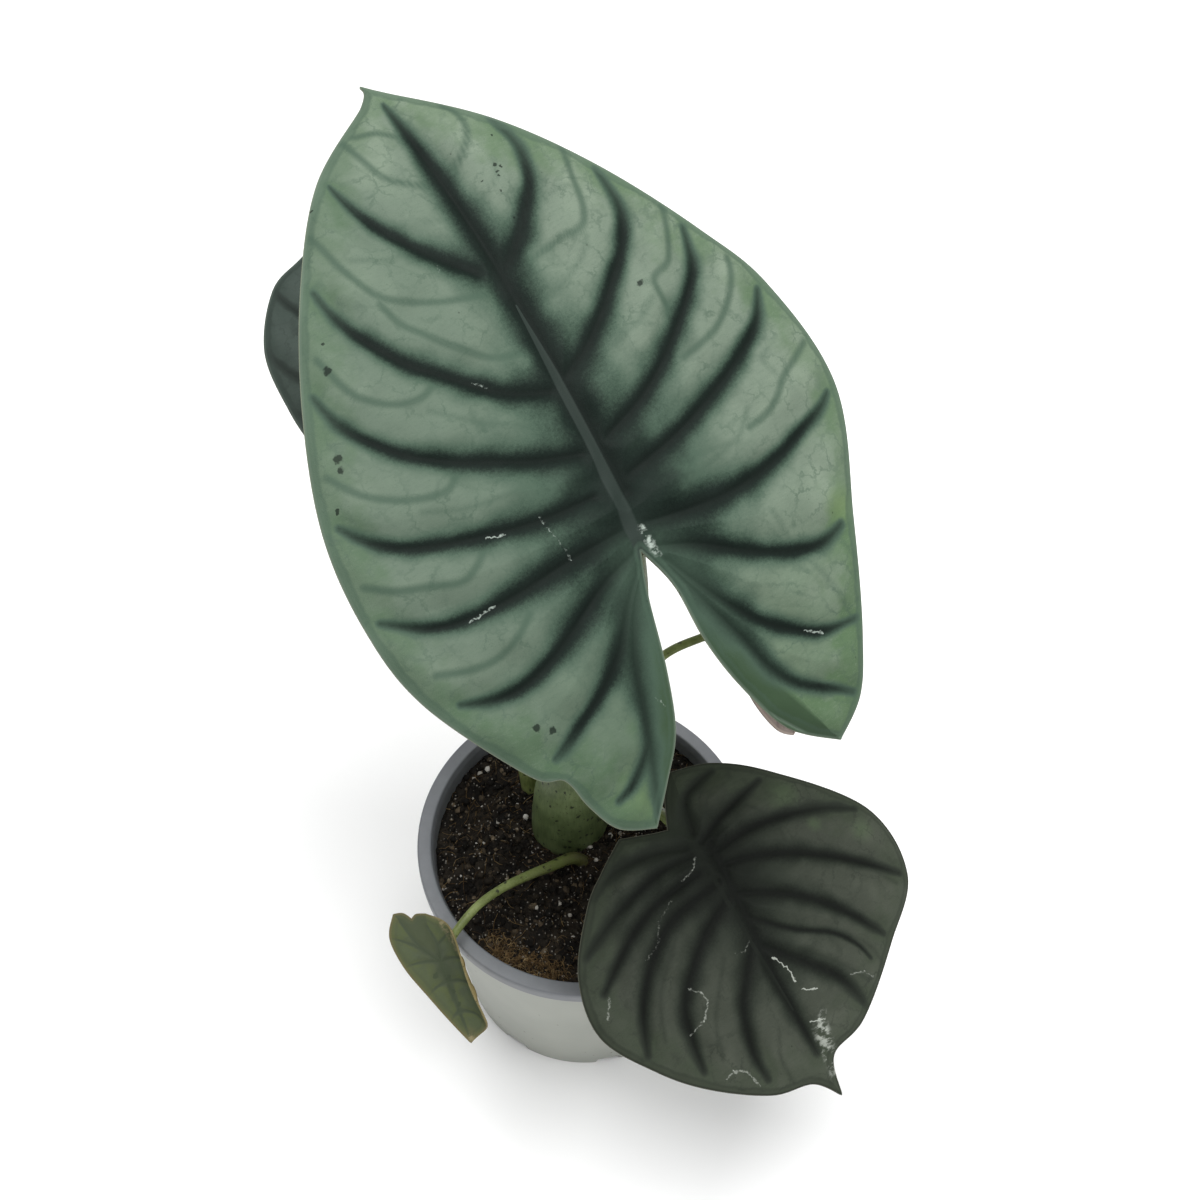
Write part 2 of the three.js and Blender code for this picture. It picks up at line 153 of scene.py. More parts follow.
class Sheet:
    """One material's sheet of nodes."""

    def __init__(self, name):
        self.material = bpy.data.materials.new(name)
        self.material.use_nodes = True
        self.tree = self.material.node_tree
        self.tree.nodes.clear()

    def add(self, kind, settings=None, values=None, out=0):
        """Adds a node of any kind, sets it, then fills its sockets with numbers, colours or wires."""
        node = self.tree.nodes.new(kind)
        for name, value in (settings or {}).items():
            setattr(node, name, value)
        for socket, value in (values or {}).items():
            if isinstance(value, Wire):
                self.tree.links.new(value.socket, node.inputs[socket])
            elif isinstance(value, str):
                node.inputs[socket].default_value = colour(value)
            else:
                node.inputs[socket].default_value = value
        return Wire(self, node.outputs[out])

    def mark(self, name, out="Fac"):
        """A value that the mesh carries at each of its points."""
        return self.add("ShaderNodeAttribute", {"attribute_name": name}, out=out)

    def place(self):
        """Where a point of the surface is in its object, in metres."""
        return self.add("ShaderNodeTexCoord", out="Object")

    def noise(self, place, scale, detail=2.0, roughness=0.5):
        """Cloudy noise about 0, from about -0.5 to 0.5."""
        values = {"Vector": place, "Scale": scale, "Detail": detail, "Roughness": roughness}
        return self.add("ShaderNodeTexNoise", None, values) - 0.5

    def drift(self, place, scale, detail, reach):
        """A random shift about 0, to make straight things uneven: the three channels of noise times reach."""
        values = {"Vector": place, "Scale": scale, "Detail": detail}
        noise = self.add("ShaderNodeTexNoise", None, values, out=1)
        return self.vector("MULTIPLY", self.vector("SUBTRACT", noise, (0.5, 0.5, 0.5)), reach)

    def smooth(self, value, low, high):
        """0 at low, 1 at high, and an S-shaped rise between them. low may be the larger one."""
        settings = {"interpolation_type": "SMOOTHSTEP"}
        return self.add("ShaderNodeMapRange", settings, {"Value": value, "From Min": low, "From Max": high})

    def mix(self, share, first, second):
        """A colour that goes from first to second as share goes from 0 to 1."""
        settings = {"data_type": "RGBA", "clamp_factor": True}
        return self.add("ShaderNodeMix", settings, {0: share, 6: first, 7: second}, out=2)

    def vector(self, operation, first, second, out=0):
        return self.add("ShaderNodeVectorMath", {"operation": operation}, {0: first, 1: second}, out)

    def spots(self, place, scale, size, share, seed=0.0):
        """Round spots of about size, in cells 1/scale wide, in a share of the cells."""
        values = {"Vector": self.vector("ADD", place, (seed, seed, seed)), "Scale": scale}
        near = self.add("ShaderNodeTexVoronoi", None, values, out="Distance")
        draw = self.add("ShaderNodeTexVoronoi", None, values, out="Color")
        chosen = self.add("ShaderNodeSeparateColor", None, {0: draw}, out=0)
        kept = self.add("ShaderNodeMath", {"operation": "LESS_THAN"}, {0: chosen, 1: share})
        return self.smooth(near + (1 - kept) * 2, size * scale, size * scale * 0.5)

    def stroke(self, place, start, end, width):
        """1 on a straight stroke between two flat places and 0 a width away: the distance to the nearest
        point of the stroke, found by sliding along it by the dot product."""
        step = np.subtract(end, start)
        offset = self.vector("SUBTRACT", place, (*start, 0.0))
        slide = self.vector("DOT_PRODUCT", offset, (*(step / (step @ step)), 0.0), out="Value")
        slide = self.add("ShaderNodeClamp", None, {0: slide})
        along = self.add("ShaderNodeVectorMath", {"operation": "SCALE"}, {0: (*step, 0.0), "Scale": slide})
        gap = self.vector("DISTANCE", offset, along, out="Value")
        return self.smooth(gap, width, width * 0.3)

    def dot(self, place, spot, core):
        """1 round the middle of a spot, given as across, along and radius, and 0 outside it."""
        gap = self.vector("DISTANCE", place, (*spot[:2], 0.0), out="Value")
        return self.smooth(gap, spot[2], spot[2] * core)

    def finish(self, base, roughness, height=None, depth=MM, specular=0.4):
        """Joins the surface: its colour, its roughness and a fine relief of that height in depth metres."""
        values = {"Base Color": base, "Roughness": roughness, "Specular IOR Level": specular}
        if height is not None:
            values["Normal"] = self.add("ShaderNodeBump", None, {"Height": height, "Distance": depth})
        surface = self.add("ShaderNodeBsdfPrincipled", None, values)
        output = self.tree.nodes.new("ShaderNodeOutputMaterial")
        self.tree.links.new(surface.socket, output.inputs["Surface"])
        return self.material


# %% [markdown]
# ## From a grid of points to a closed mesh
# A surface here is a table of points: rows one way, columns the other. Blender wants vertices and triangles.
# One helper turns any number of such tables into a mesh. Points that fall on each other become one vertex,
# which closes seams and poles, and a cell that has shrunk to a line or a point gives no triangle.

# %% Meshes from grids
SEAM = 1e-4
pieces = []


def mesh_piece(name, points, triangles, marks, replaces=()):
    """A piece of the plant from arrays of points in millimetres and triangles, in the solid model's frame."""
    mesh = bpy.data.meshes.new(name)
    mesh.vertices.add(len(points))
    mesh.vertices.foreach_set("co", (points * MM).astype(np.float32).ravel())
    mesh.loops.add(triangles.size)
    mesh.loops.foreach_set("vertex_index", triangles.astype(np.int32).ravel())
    mesh.polygons.add(len(triangles))
    mesh.polygons.foreach_set("loop_start", np.arange(0, triangles.size, 3, dtype=np.int32))
    mesh.polygons.foreach_set("use_smooth", np.ones(len(triangles), bool))
    mesh.update(calc_edges=True)
    mesh.validate()
    for mark, values in marks.items():
        vector = values.ndim == 2
        layer = mesh.attributes.new(mark, "FLOAT_VECTOR" if vector else "FLOAT", "POINT")
        layer.data.foreach_set("vector" if vector else "value", values.astype(np.float32).ravel())
    piece = show(name, mesh)
    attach(piece, "root")
    if replaces:
        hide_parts(*replaces)
    pieces.append(piece)
    print(name, len(triangles), "triangles")
    return piece


def grid_piece(name, grids, marks, slot, replaces=()):
    """A closed piece from tables of points. Each cell of a table gives two triangles, and a negative volume,
    the sum over triangles of a dot b cross c, says that they all face inwards and have to be turned round."""
    points = np.concatenate([grid.reshape(-1, 3) for grid in grids])
    keys = np.round(points / SEAM).astype(np.int64)
    _, first, vertex = np.unique(keys, axis=0, return_index=True, return_inverse=True)
    vertex = vertex.ravel()
    triangles = []
    start = 0
    for grid in grids:
        rows, columns = grid.shape[:2]
        at = vertex[start:start + rows * columns].reshape(rows, columns)
        a, b, c, d = at[:-1, :-1], at[:-1, 1:], at[1:, 1:], at[1:, :-1]
        triangles.append(np.stack([a, b, c], -1).reshape(-1, 3))
        triangles.append(np.stack([a, c, d], -1).reshape(-1, 3))
        start += rows * columns
    triangles = np.concatenate(triangles)
    a, b, c = triangles.T
    triangles = triangles[(a != b) & (b != c) & (c != a)]
    points = points[first]
    a, b, c = points[triangles].transpose(1, 0, 2)
    if np.einsum("ij,ij->", a, np.cross(b, c)) < 0:
        triangles = triangles[:, ::-1]
    marks = {mark: np.concatenate([v.reshape(-1, *v.shape[2:]) for v in values])[first]
             for mark, values in marks.items()}
    return mesh_piece(name, points, triangles, marks, replaces)


def through(rows, u):
    """Rows of numbers read at places u: each stretch is a cubic whose slope at a row is half the step from
    the row before it to the row after it (a Catmull-Rom curve)."""
    rows = np.asarray(rows, float)
    last = len(rows) - 1
    step = np.clip(np.floor(u).astype(int), 0, last - 1)
    f = (u - step)[..., None]
    before, value = rows[np.maximum(step - 1, 0)], rows[step]
    to, after = rows[step + 1], rows[np.minimum(step + 2, last)]
    leave, arrive, turn = (to - before) / 2, (after - value) / 2, to - value
    return value + f * (leave + f * (3 * turn - 2 * leave - arrive + f * (leave + arrive - 2 * turn)))


def full_turn(steps):
    """Angles once round in even steps. The last is 0 again, so that the seam's points are exactly the
    same."""
    return np.append(np.linspace(0, 2 * np.pi, steps + 1)[:-1], 0.0)


WAVES = 28
WAVE_LENGTHS = (0.7, 1.5)


def waves(x, y, size, seed):
    """A soft random height over x and y: the sum of cosine waves of about one length, size, in random
    directions, scaled so that it stays near -1 to 1."""
    draw = np.random.default_rng(seed)
    headings = draw.uniform(0, 2 * np.pi, WAVES)
    turns = 2 * np.pi / (size * draw.uniform(*WAVE_LENGTHS, WAVES))
    shifts = draw.uniform(0, 2 * np.pi, WAVES)
    total = np.zeros(np.shape(x))
    for heading, turn, shift in zip(headings, turns, shifts):
        total += np.cos(turn * (x * np.cos(heading) + y * np.sin(heading)) + shift)
    return total / np.sqrt(WAVES)


# %% [markdown]
# ## The leaves
# A blade of this plant is thick and stiff, shaped like a shield with two lobes behind the stalk. The skin
# swells between the main veins, which lie in valleys on top and stand out as ribs beneath. The blade could be
# sculpted, but its order is simple enough to write down: lines of grain leave the midrib and the ribs of the
# lobes and run to the margin. So a place on a half of the leaf is two numbers, u, which line, and t, how far
# along it. The flat blade is then bent: the midrib is an arc towards the tip and an arc towards the lobes,
# and each half is an arc across it. The numbers are those of the solid model, in millimetres and degrees.
#
# A station of the margin is: across, along, where its line of grain leaves the rib, how far the line bows as
# a share of its length, and 1 where a main vein ends there.

# %% The five leaves, laid out flat
LEAVES = {
    "blade_large": {
        "rest": (16, 2, 275), "heading": 35, "rise": 33, "tip_droop": 22, "lobe_droop": 18,
        "cup": (8, 8), "roll": (18, 18), "half_width": 80, "quilt": 2.0,
        "midrib": [(0, 0), (3, 40), (6, 90), (4, 156)],
        "left": {
            "lobe_rib": [(0, 0), (-9, -9), (-18, -27), (-25, -48), (-32, -70)],
            "outer": [
                (4, 156, 156, 0, 1), (1, 150, 140, 0, 0), (-25, 131, 87, 0.12, 1), (-46, 104, 47, 0.15, 1),
                (-63, 74, 26, 0.12, 1), (-75, 43, 14, 0.09, 1), (-78, 15, 6, 0.09, 1), (-74, -10, 0, 0.13, 1),
                (-58, -40, -14, 0.08, 1), (-50, -46, -32, 0.08, 0), (-47, -56, -48, 0.1, 1),
                (-42, -66, -64, 0.05, 0), (-32, -72, -77, 0, 1),
            ],
            "inner": [(-32, -72), (-23.5, -61.5), (-15.5, -51), (-10, -35), (-5, -15), (0, -2)],
        },
        "right": {
            "lobe_rib": [(0, 0), (4, -9), (11, -30), (18, -48), (29, -77)],
            "outer": [
                (4, 156, 156, 0, 1), (10, 149, 140, 0, 0), (31, 127, 87, 0.16, 1), (49, 101, 47, 0.14, 1),
                (66, 70, 26, 0.07, 1), (76, 47, 14, 0.09, 1), (79, 12, 6, 0.13, 1), (63, -24, 0, 0.09, 1),
                (50, -55, -14, 0.12, 1), (42, -71, -42, 0.07, 1), (31, -80, -82, 0, 1),
            ],
            "inner": [(31, -80), (17, -68), (9, -50), (5, -33), (4, -15), (0, -2)],
        },
    },
    "blade_dark": {
        "rest": (38, -28, 145), "heading": -145, "rise": -20, "tip_droop": 18, "lobe_droop": 14,
        "cup": (4, 4), "roll": (20, 20), "half_width": 60, "quilt": 1.3,
        "midrib": [(0, 0), (3, 25), (1, 55), (-1, 93)],
        "left": {
            "lobe_rib": [(0, 0), (-3, -8), (-6, -20)],
            "outer": [
                (-1, 93, 93, 0, 1), (-5, 80, 68, 0, 0), (-20, 76, 40, 0.16, 1), (-43, 61, 21, 0.13, 1),
                (-63, 46, 11, 0.11, 1), (-63, 20, 4, 0.1, 1), (-38, -9, 0, 0.1, 1), (-22, -22, -7, 0.1, 1),
                (-8, -27, -21, 0, 1),
            ],
            "inner": [(-8, -27), (-3, -23), (1, -17), (4.5, -11)],
        },
        "right": {
            "lobe_rib": [(0, 0), (8, -8), (17, -14)],
            "outer": [
                (-1, 93, 93, 0, 1), (6, 84, 68, 0, 0), (20, 79, 40, 0.08, 1), (37, 66, 21, 0.12, 1),
                (49, 52, 11, 0.07, 1), (59, 33, 4, 0.08, 1), (55, 13, 0, 0.06, 1), (41, -4, -7, 0.06, 1),
                (31, -11, -13, 0.05, 0), (20, -17, -22, 0, 1),
            ],
            "inner": [(20, -17), (14, -14.5), (9, -12.5), (4.5, -11)],
        },
    },
    "blade_back": {
        "rest": (-59, 90, 215), "heading": 20, "rise": 22, "tip_droop": 20, "lobe_droop": 14,
        "cup": (6, 6), "roll": (14, 14), "half_width": 38, "quilt": 0.8,
        "midrib": [(0, 0), (2, 40), (0, 88)],
        "left": {
            "lobe_rib": [(0, 0), (-5, -11), (-13, -28)],
            "outer": [
                (0, 88, 88, 0, 1), (-15, 77, 60, 0.1, 0), (-27, 67, 42, 0.12, 1), (-36, 44, 18, 0.12, 1),
                (-34, 20, 6, 0.1, 1), (-29, 2, 0, 0.08, 1), (-23, -16, -12, 0.08, 1), (-14, -31, -31, 0, 1),
            ],
            "inner": [(-14, -31), (-7, -23), (-3, -12), (0, -3)],
        },
        "right": {
            "lobe_rib": [(0, 0), (5, -11), (13, -28)],
            "outer": [
                (0, 88, 88, 0, 1), (15, 77, 60, 0.1, 0), (27, 66, 42, 0.12, 1), (36, 42, 18, 0.12, 1),
                (35, 19, 6, 0.1, 1), (30, 1, 0, 0.08, 1), (23, -16, -12, 0.08, 1), (14, -31, -31, 0, 1),
            ],
            "inner": [(14, -31), (7, -23), (3, -12), (0, -3)],
        },
    },
    "blade_young": {
        "rest": (54.5, 38, 180), "heading": -137, "rise": -42, "tip_droop": 26, "lobe_droop": 30,
        "cup": (22, 22), "roll": (10, 10), "half_width": 15, "quilt": 0.4,
        "midrib": [(0, 0), (0, 24), (0, 47)],
        "left": {
            "lobe_rib": [(0, 0), (-4, -6), (-7, -14)],
            "outer": [
                (0, 47, 47, 0, 1), (-8, 37, 28, 0.1, 1), (-13, 22, 12, 0.1, 1), (-14, 6, 0, 0.08, 1),
                (-12, -6, -7, 0.05, 1), (-7, -16, -15, 0, 1),
            ],
            "inner": [(-7, -16), (-4, -12), (-2, -7), (0, -2)],
        },
        "right": {
            "lobe_rib": [(0, 0), (4, -6), (7, -14)],
            "outer": [
                (0, 47, 47, 0, 1), (8, 37, 28, 0.1, 1), (13, 22, 12, 0.1, 1), (13, 6, 0, 0.08, 1),
                (11, -6, -7, 0.05, 1), (7, -16, -15, 0, 1),
            ],
            "inner": [(7, -16), (4, -12), (2, -7), (0, -2)],
        },
    },
    "blade_small": {
        "rest": (-48.5, -49.3, 104), "heading": -155, "rise": -32, "tip_droop": 10, "lobe_droop": 12,
        "cup": (-15, 5), "roll": (-150, 14), "half_width": 14, "quilt": 0.4,
        "midrib": [(0, 0), (0, 15), (0, 30)],
        "left": {
            "lobe_rib": [(0, 0), (-1, -6), (0, -13)],
            "outer": [
                (0, 30, 30, 0, 1), (-9, 25, 18, 0.1, 1), (-13, 15, 8, 0.1, 1), (-13, 3, 0, 0.08, 1),
                (-9, -9, -6, 0.05, 1), (-1, -17, -13, 0, 1),
            ],
            "inner": [(-1, -17), (2, -18), (4, -17)],
        },
        "right": {
            "lobe_rib": [(0, 0), (5, -8), (8, -18)],
            "outer": [
                (0, 30, 30, 0, 1), (4, 20, 18, 0.1, 1), (8, 9, 8, 0.1, 1), (12, -3, 0, 0.08, 1),
                (13, -14, -6, 0.05, 1), (9, -21, -19, 0, 1),
            ],
            "inner": [(9, -21), (6, -20), (4, -17)],
        },
    },
}
print("leaves:", {name: len(leaf["left"]["outer"]) for name, leaf in LEAVES.items()})


# %% The bend and the grain
def bend(leaf, across, along, lift, trough):
    """A flat place, raised by lift, in the plant. The midrib has a constant curve, so its run and rise are
    differences of sines and cosines of the slope over that curve, and each half bends across it the same way.
    The lift stands square to the blade, and turns over from one half's side to the other's across a trough,
    as a tanh does."""
    side = (across >= 0).astype(int)
    tip_length = leaf["midrib"][-1][1]
    lobe_length = -min(station[1] for station in leaf["left"]["outer"])
    curve = np.where(along < 0, np.radians(leaf["lobe_droop"]) / lobe_length,
                     np.radians(leaf["tip_droop"]) / tip_length)
    start = np.radians(leaf["rise"])
    slope = start - curve * along
    forward = (np.sin(start) - np.sin(slope)) / curve
    up = (np.cos(slope) - np.cos(start)) / curve
    cup = np.radians(leaf["cup"])[side]
    roll = np.radians(leaf["roll"])[side] / leaf["half_width"]
    tilt = cup - roll * np.abs(across)
    lean = tilt * np.tanh(across / trough)
    sideways = np.sign(across) * (np.sin(cup) - np.sin(tilt)) / roll - lift * np.sin(lean)
    height = (np.cos(tilt) - np.cos(cup)) / roll + lift * np.cos(lean)
    local = np.stack([sideways, forward - height * np.sin(slope), up + height * np.cos(slope)], -1)
    turn = np.radians(leaf["heading"])
    matrix = np.array([[np.cos(turn), -np.sin(turn), 0], [np.sin(turn), np.cos(turn), 0], [0, 0, 1]])
    return local @ matrix.T + np.array(leaf["rest"])


def rib_start(leaf, half, rib):
    """Where a line of grain leaves its rib: rib millimetres up the midrib, or down the lobe's rib if
    negative."""
    lobe_length = -half["outer"][-1][2]
    up = np.clip(rib / leaf["midrib"][-1][1], 0, 1)
    down = np.clip(-rib / lobe_length, 0, 1)
    on_midrib = through(leaf["midrib"], up * (len(leaf["midrib"]) - 1))
    on_lobe = through(half["lobe_rib"], down * (len(half["lobe_rib"]) - 1))
    return np.where((rib >= 0)[..., None], on_midrib, on_lobe)


def grain(start, end, bow, hand, t):
    """A line from start to end, bowed sideways by a parabola that is 4 t (1 - t) bow of its length."""
    step = end - start
    aside = np.stack([-step[..., 1], step[..., 0]], -1)
    sag = 4 * t * (1 - t) * bow * hand
    return start + step * t[..., None] + aside * sag[..., None]


def outer_place(leaf, half, hand, u, t):
    """The flat place at u stations from the tip and t of the way from the rib to the margin."""
    station = through([s[:4] for s in half["outer"]], u)
    return grain(rib_start(leaf, half, station[..., 2]), station[..., :2], station[..., 3], hand, t)


def row_places(leaf, half, spacing):
    """Where rows lie between stations: each stretch of margin is split evenly into steps of about the
    spacing. Both halves take the longer of their two stretches, so that their rows meet on the midrib."""
    sides = [np.array([s[:2] for s in leaf[key]["outer"]], float) for key in ("left", "right")]
    own = np.array([s[:2] for s in half["outer"]], float)
    u = [np.zeros(1)]
    for i in range(len(own) - 1):
        shared = half["outer"][i + 1][2] >= 0 or half["outer"][i][2] >= 0
        length = max(np.linalg.norm(side[i + 1] - side[i]) for side in (sides if shared else [own]))
        u.append(i + np.arange(1, int(np.ceil(length / spacing)) + 1) / np.ceil(length / spacing))
    return np.concatenate(u)


def half_layout(leaf, half, hand, spacing, columns):
    """One half of the blade as a table of flat places, and which rows lie inside the lobe. Rows go from the
    tip to the lobe's end, and then back along the inner side of the lobe to the notch."""
    u = row_places(leaf, half, spacing)
    t = np.linspace(0, 1, columns + 1)
    outer = outer_place(leaf, half, hand, *np.meshgrid(u, t, indexing="ij"))
    rib = through([s[:4] for s in half["outer"]], u)[:, 2]
    back = rib[rib <= 1e-6][:-1][::-1]
    share = np.clip(-back / -half["outer"][-1][2], 0, 1)
    end = through(half["inner"], (1 - share) * (len(half["inner"]) - 1))
    start = rib_start(leaf, half, back)
    level = np.broadcast_to(t, (len(back), len(t)))
    inner = grain(start[:, None], end[:, None], np.zeros_like(level), hand, level)
    inside = np.concatenate([np.zeros(len(u)), np.ones(len(back))])
    return np.concatenate([outer, inner]), inside


def line_distance(places, line):
    """How far flat places are from a line through points, the share of the line's length at the nearest
    point, and the line's third number there if it has one."""
    start, step = line[:-1], np.diff(line, axis=0)
    length = np.hypot(step[:, 0], step[:, 1])
    offset = places[:, None] - start[:, :2]
    slide = np.clip((offset * step[:, :2]).sum(-1) / np.maximum(length, 1e-9) ** 2, 0, 1)
    gap = np.linalg.norm(offset - slide[..., None] * step[:, :2], axis=-1)
    nearest = gap.argmin(1)
    row = np.arange(len(places))
    slide = slide[row, nearest]
    passed = np.concatenate([[0], np.cumsum(length)])[nearest] + slide * length[nearest]
    third = (start[nearest] + step[nearest] * slide[:, None])[:, 2:].sum(1)
    return gap[row, nearest], np.clip(passed / length.sum(), 0, 1), third


# %% [markdown]
# ## Veins
# The dark bands along the veins are wide at the midrib and narrow at the margin, and where two of them meet
# they flow together in a rounded fork. A band is a line on the flat leaf with half its width at each place.
# Each point of the leaf gets, for each band, its distance divided by that half width. These ratios are joined
# by a smooth minimum, the sum of their powers, which rounds the forks. Fine side veins wander between the
# bands. The two leaves that turn their faces to the viewer have their own veins, vein by vein. The others
# take theirs from the grain.

# %% The bands: across, along and half a width, in millimetres on the flat leaf
VEINS = {
    "blade_large": [
        [(4, 14, 9), (4, 30, 9.5), (4.3, 45, 9), (5, 60, 7), (5.5, 75, 6.5), (6.3, 90, 5.8), (6.5, 105, 4.5),
         (6.5, 120, 3.8), (6.5, 130, 2.5), (6.3, 140, 1.5), (6, 147, 0.7)],
        [(0, 88, 4.5), (-5, 93, 4), (-10, 99, 3.3), (-17, 110, 2.3), (-20, 117, 1.8), (-22, 125, 1),
         (-22.5, 129, 0.6)],
        [(0, 48, 4.5), (-10, 52, 4), (-17, 57, 3.5), (-25, 65, 3.2), (-32, 72, 3), (-37, 80, 2.6),
         (-41, 88, 2), (-43, 96, 1.3), (-43.5, 102, 0.8)],
        [(-2, 29, 4.5), (-15, 33, 3.8), (-25, 38, 3.5), (-35, 43, 3), (-45, 50, 2.5), (-52, 58, 2.1),
         (-57, 66, 1.8), (-59, 76, 0.8)],
        [(-5, 17, 4), (-20, 18, 3.8), (-35, 21, 3.2), (-50, 25.5, 2.5), (-60, 30, 2.1), (-67, 36, 1.6),
         (-71, 42, 0.9)],
        [(-3, 5, 7), (-20, 5, 6), (-40, 4, 3.5), (-55, 5, 2.3), (-65, 8.5, 1.8), (-74, 15, 0.8)],
        [(-2, -2, 5), (-15, -5, 4.5), (-28, -11, 4), (-40, -16, 2.8), (-50, -18, 2.3), (-58, -17, 1.7),
         (-66, -14, 0.9)],
        [(-3, -6, 5), (-12, -14, 4.5), (-20, -23, 4), (-30, -30, 2.5), (-38, -34, 2), (-46, -38, 1.6),
         (-50, -39.5, 1)],
        [(-3, -8, 5), (-10, -15, 4.5), (-17, -27, 4), (-21, -40, 3), (-24, -50, 2.4), (-27, -60, 2),
         (-30, -69, 1.2)],
        [(-24, -50, 2), (-33, -57, 1.5), (-39, -59, 0.9)],
        [(8, 85, 4.5), (15, 90, 4), (22, 97, 3), (28, 104, 2.3), (31, 111, 1.8), (32, 118, 1.6),
         (30, 128, 0.9)],
        [(6, 50, 5), (15, 54, 4.3), (25, 61, 3.4), (33, 68, 2.6), (40, 74, 2.4), (45, 81, 2.2), (48, 88, 1.7),
         (48, 100, 0.8)],
        [(8, 30, 5), (20, 34, 4), (30, 39, 3.3), (40, 46, 3), (50, 54, 2.5), (57, 61, 2), (61.5, 73, 0.8)],
        [(8, 18, 6), (20, 20, 4.5), (30, 22.5, 3.6), (40, 26, 3.2), (50, 30, 2.8), (60, 35, 2.3),
         (67, 40, 1.8), (72, 47, 0.9)],
        [(5, 4, 7), (20, 1, 6), (35, 0, 4), (50, 2, 2.5), (60, 5, 2), (70, 8, 1.5), (75, 11, 0.9)],
        [(4, -3, 6), (15, -8, 5), (25, -15, 3), (35, -21, 2.7), (45, -25, 2.3), (52, -25.5, 1.9),
         (58, -24, 1.1)],
        [(5, -8, 5), (10, -18, 4), (16, -28, 3.2), (22, -36, 2.5), (30, -43, 2.2), (38, -48, 1.8),
         (50, -50, 0.8)],
        [(5, -10, 4), (10, -25, 3.5), (15, -38, 3), (19, -50, 2.5), (25, -58, 1.9), (32, -63, 1.6),
         (40, -69, 0.9)],
    ],
    "blade_dark": [
        [(-5, 0, 5), (-3.5, 15, 5.5), (-2, 30, 5), (-0.5, 42, 4.2), (0, 52, 3.2), (0, 62, 2.3), (0, 76, 1.2)],
        [(3, -3, 4), (13, -7, 2.3), (28, -9, 1.8), (38, -6, 1)],
        [(3, 0, 4), (15, -1, 2.5), (33, 2.5, 2), (50, 9, 1)],
        [(4, 6, 3.5), (21, 7, 2.6), (35, 12, 2.2), (51, 22, 1)],
        [(0, 12, 4), (20, 14, 3), (33, 22, 2.5), (43, 33, 1.8), (49, 46, 1)],
        [(0, 18, 4), (15, 25, 3), (30, 38, 2.5), (34, 49, 2), (36, 60, 1)],
        [(0, 34, 3.5), (8, 42, 3), (15, 51, 2.5), (19, 64, 1.8), (19, 74, 0.9)],
        [(-2, -6, 3.5), (-6, -16, 1.6), (-13, -19, 1.4), (-20, -20, 0.8)],
        [(-3, -2, 3.5), (-12, -5, 2.1), (-21, -7, 1.7), (-32, -9, 0.9)],
        [(-4, 3, 4), (-20, 3, 2.5), (-34, 6, 2), (-48, 11, 1.6), (-58, 17, 0.9)],
        [(-5, 8, 4.5), (-15, 11, 3.2), (-29, 18, 2.6), (-44, 29, 2), (-60, 44, 1)],
        [(-3, 18, 4.5), (-12, 23, 3.2), (-24, 32, 2.6), (-34, 44, 2), (-42, 57, 1)],
        [(-1, 36, 4), (-10, 47, 3), (-18, 57, 2.5), (-22, 66, 1.8), (-23, 73, 0.9)],
        [(-2, 26, 2), (-14, 38, 1.2), (-25, 46, 1), (-31, 54, 0.8), (-33, 61, 0.5)],
    ],
}
FINE_VEINS = {
    "blade_large": {
        1.0: [
            [(7, 133), (0, 137), (-8, 140)], [(5, 116), (-3, 119), (-8, 124), (-10, 130), (-12, 140)],
            [(-2, 80), (-10, 82), (-20, 86), (-28, 91), (-32, 98), (-34, 106), (-36, 117)],
            [(-2, 61), (-10, 63), (-17, 69), (-23, 76), (-28, 83), (-30, 90)],
            [(-29, 64), (-34, 62), (-40, 63), (-46, 67), (-50, 72), (-53, 84)],
            [(-36, 40), (-41, 37), (-48, 38), (-56, 42), (-62, 47), (-67, 55)],
            [(-40, 19), (-44, 16), (-50, 14), (-58, 17), (-66, 20), (-73, 25)],
            [(-38, -2), (-45, -6), (-52, -8), (-60, -7), (-68, -4)],
            [(8, 115), (14, 119), (19, 123), (22, 128), (22, 133), (20, 138)],
            [(8, 80), (15, 83), (25, 84.5), (33, 85), (37, 90), (40, 101), (43, 110)],
            [(43, 52), (43, 62), (50, 65), (55, 72), (58, 78), (59, 81)],
            [(39, 39), (45, 40), (52, 42), (60, 47), (65, 53), (68, 59)],
            [(45, 13), (52, 14), (58, 17), (63, 21), (70, 24), (76, 27)],
        ],
        0.55: [
            [(3, 104), (-5, 107)], [(-30, 105), (-22, 101), (-17, 101)],
            [(8, 104), (15, 106.5), (20, 109), (23, 115)], [(29, 98), (35, 98), (38, 97)],
            [(12, 71), (20, 73), (28, 77), (33, 82)], [(43, 62), (39, 63)], [(22, 51), (33, 54), (40, 58)],
            [(61, 23), (60, 28), (63, 30)], [(20, 15), (30, 13), (40, 11)], [(25, 9), (40, 12), (48, 18)],
            [(39, -10), (41, -22), (45, -33), (48, -45), (49, -52)], [(55, -27), (58, -35)],
            [(-12, 42), (-25, 50), (-34, 58)], [(-22, 28), (-38, 30), (-50, 35)],
        ],
    },
    "blade_dark": {
        0.6: [
            [(-20, -8), (-28, 4), (-27, 14)], [(-22, 42), (-30, 50), (-35, 58), (-36, 66)],
            [(12, 33), (24, 47), (29, 60)], [(22, 19), (36, 32), (42, 45)], [(-38, 24), (-50, 36), (-56, 46)],
            [(8, 62), (12, 70), (12, 80)], [(-12, 44), (-22, 56), (-28, 66)],
        ],
    },
}
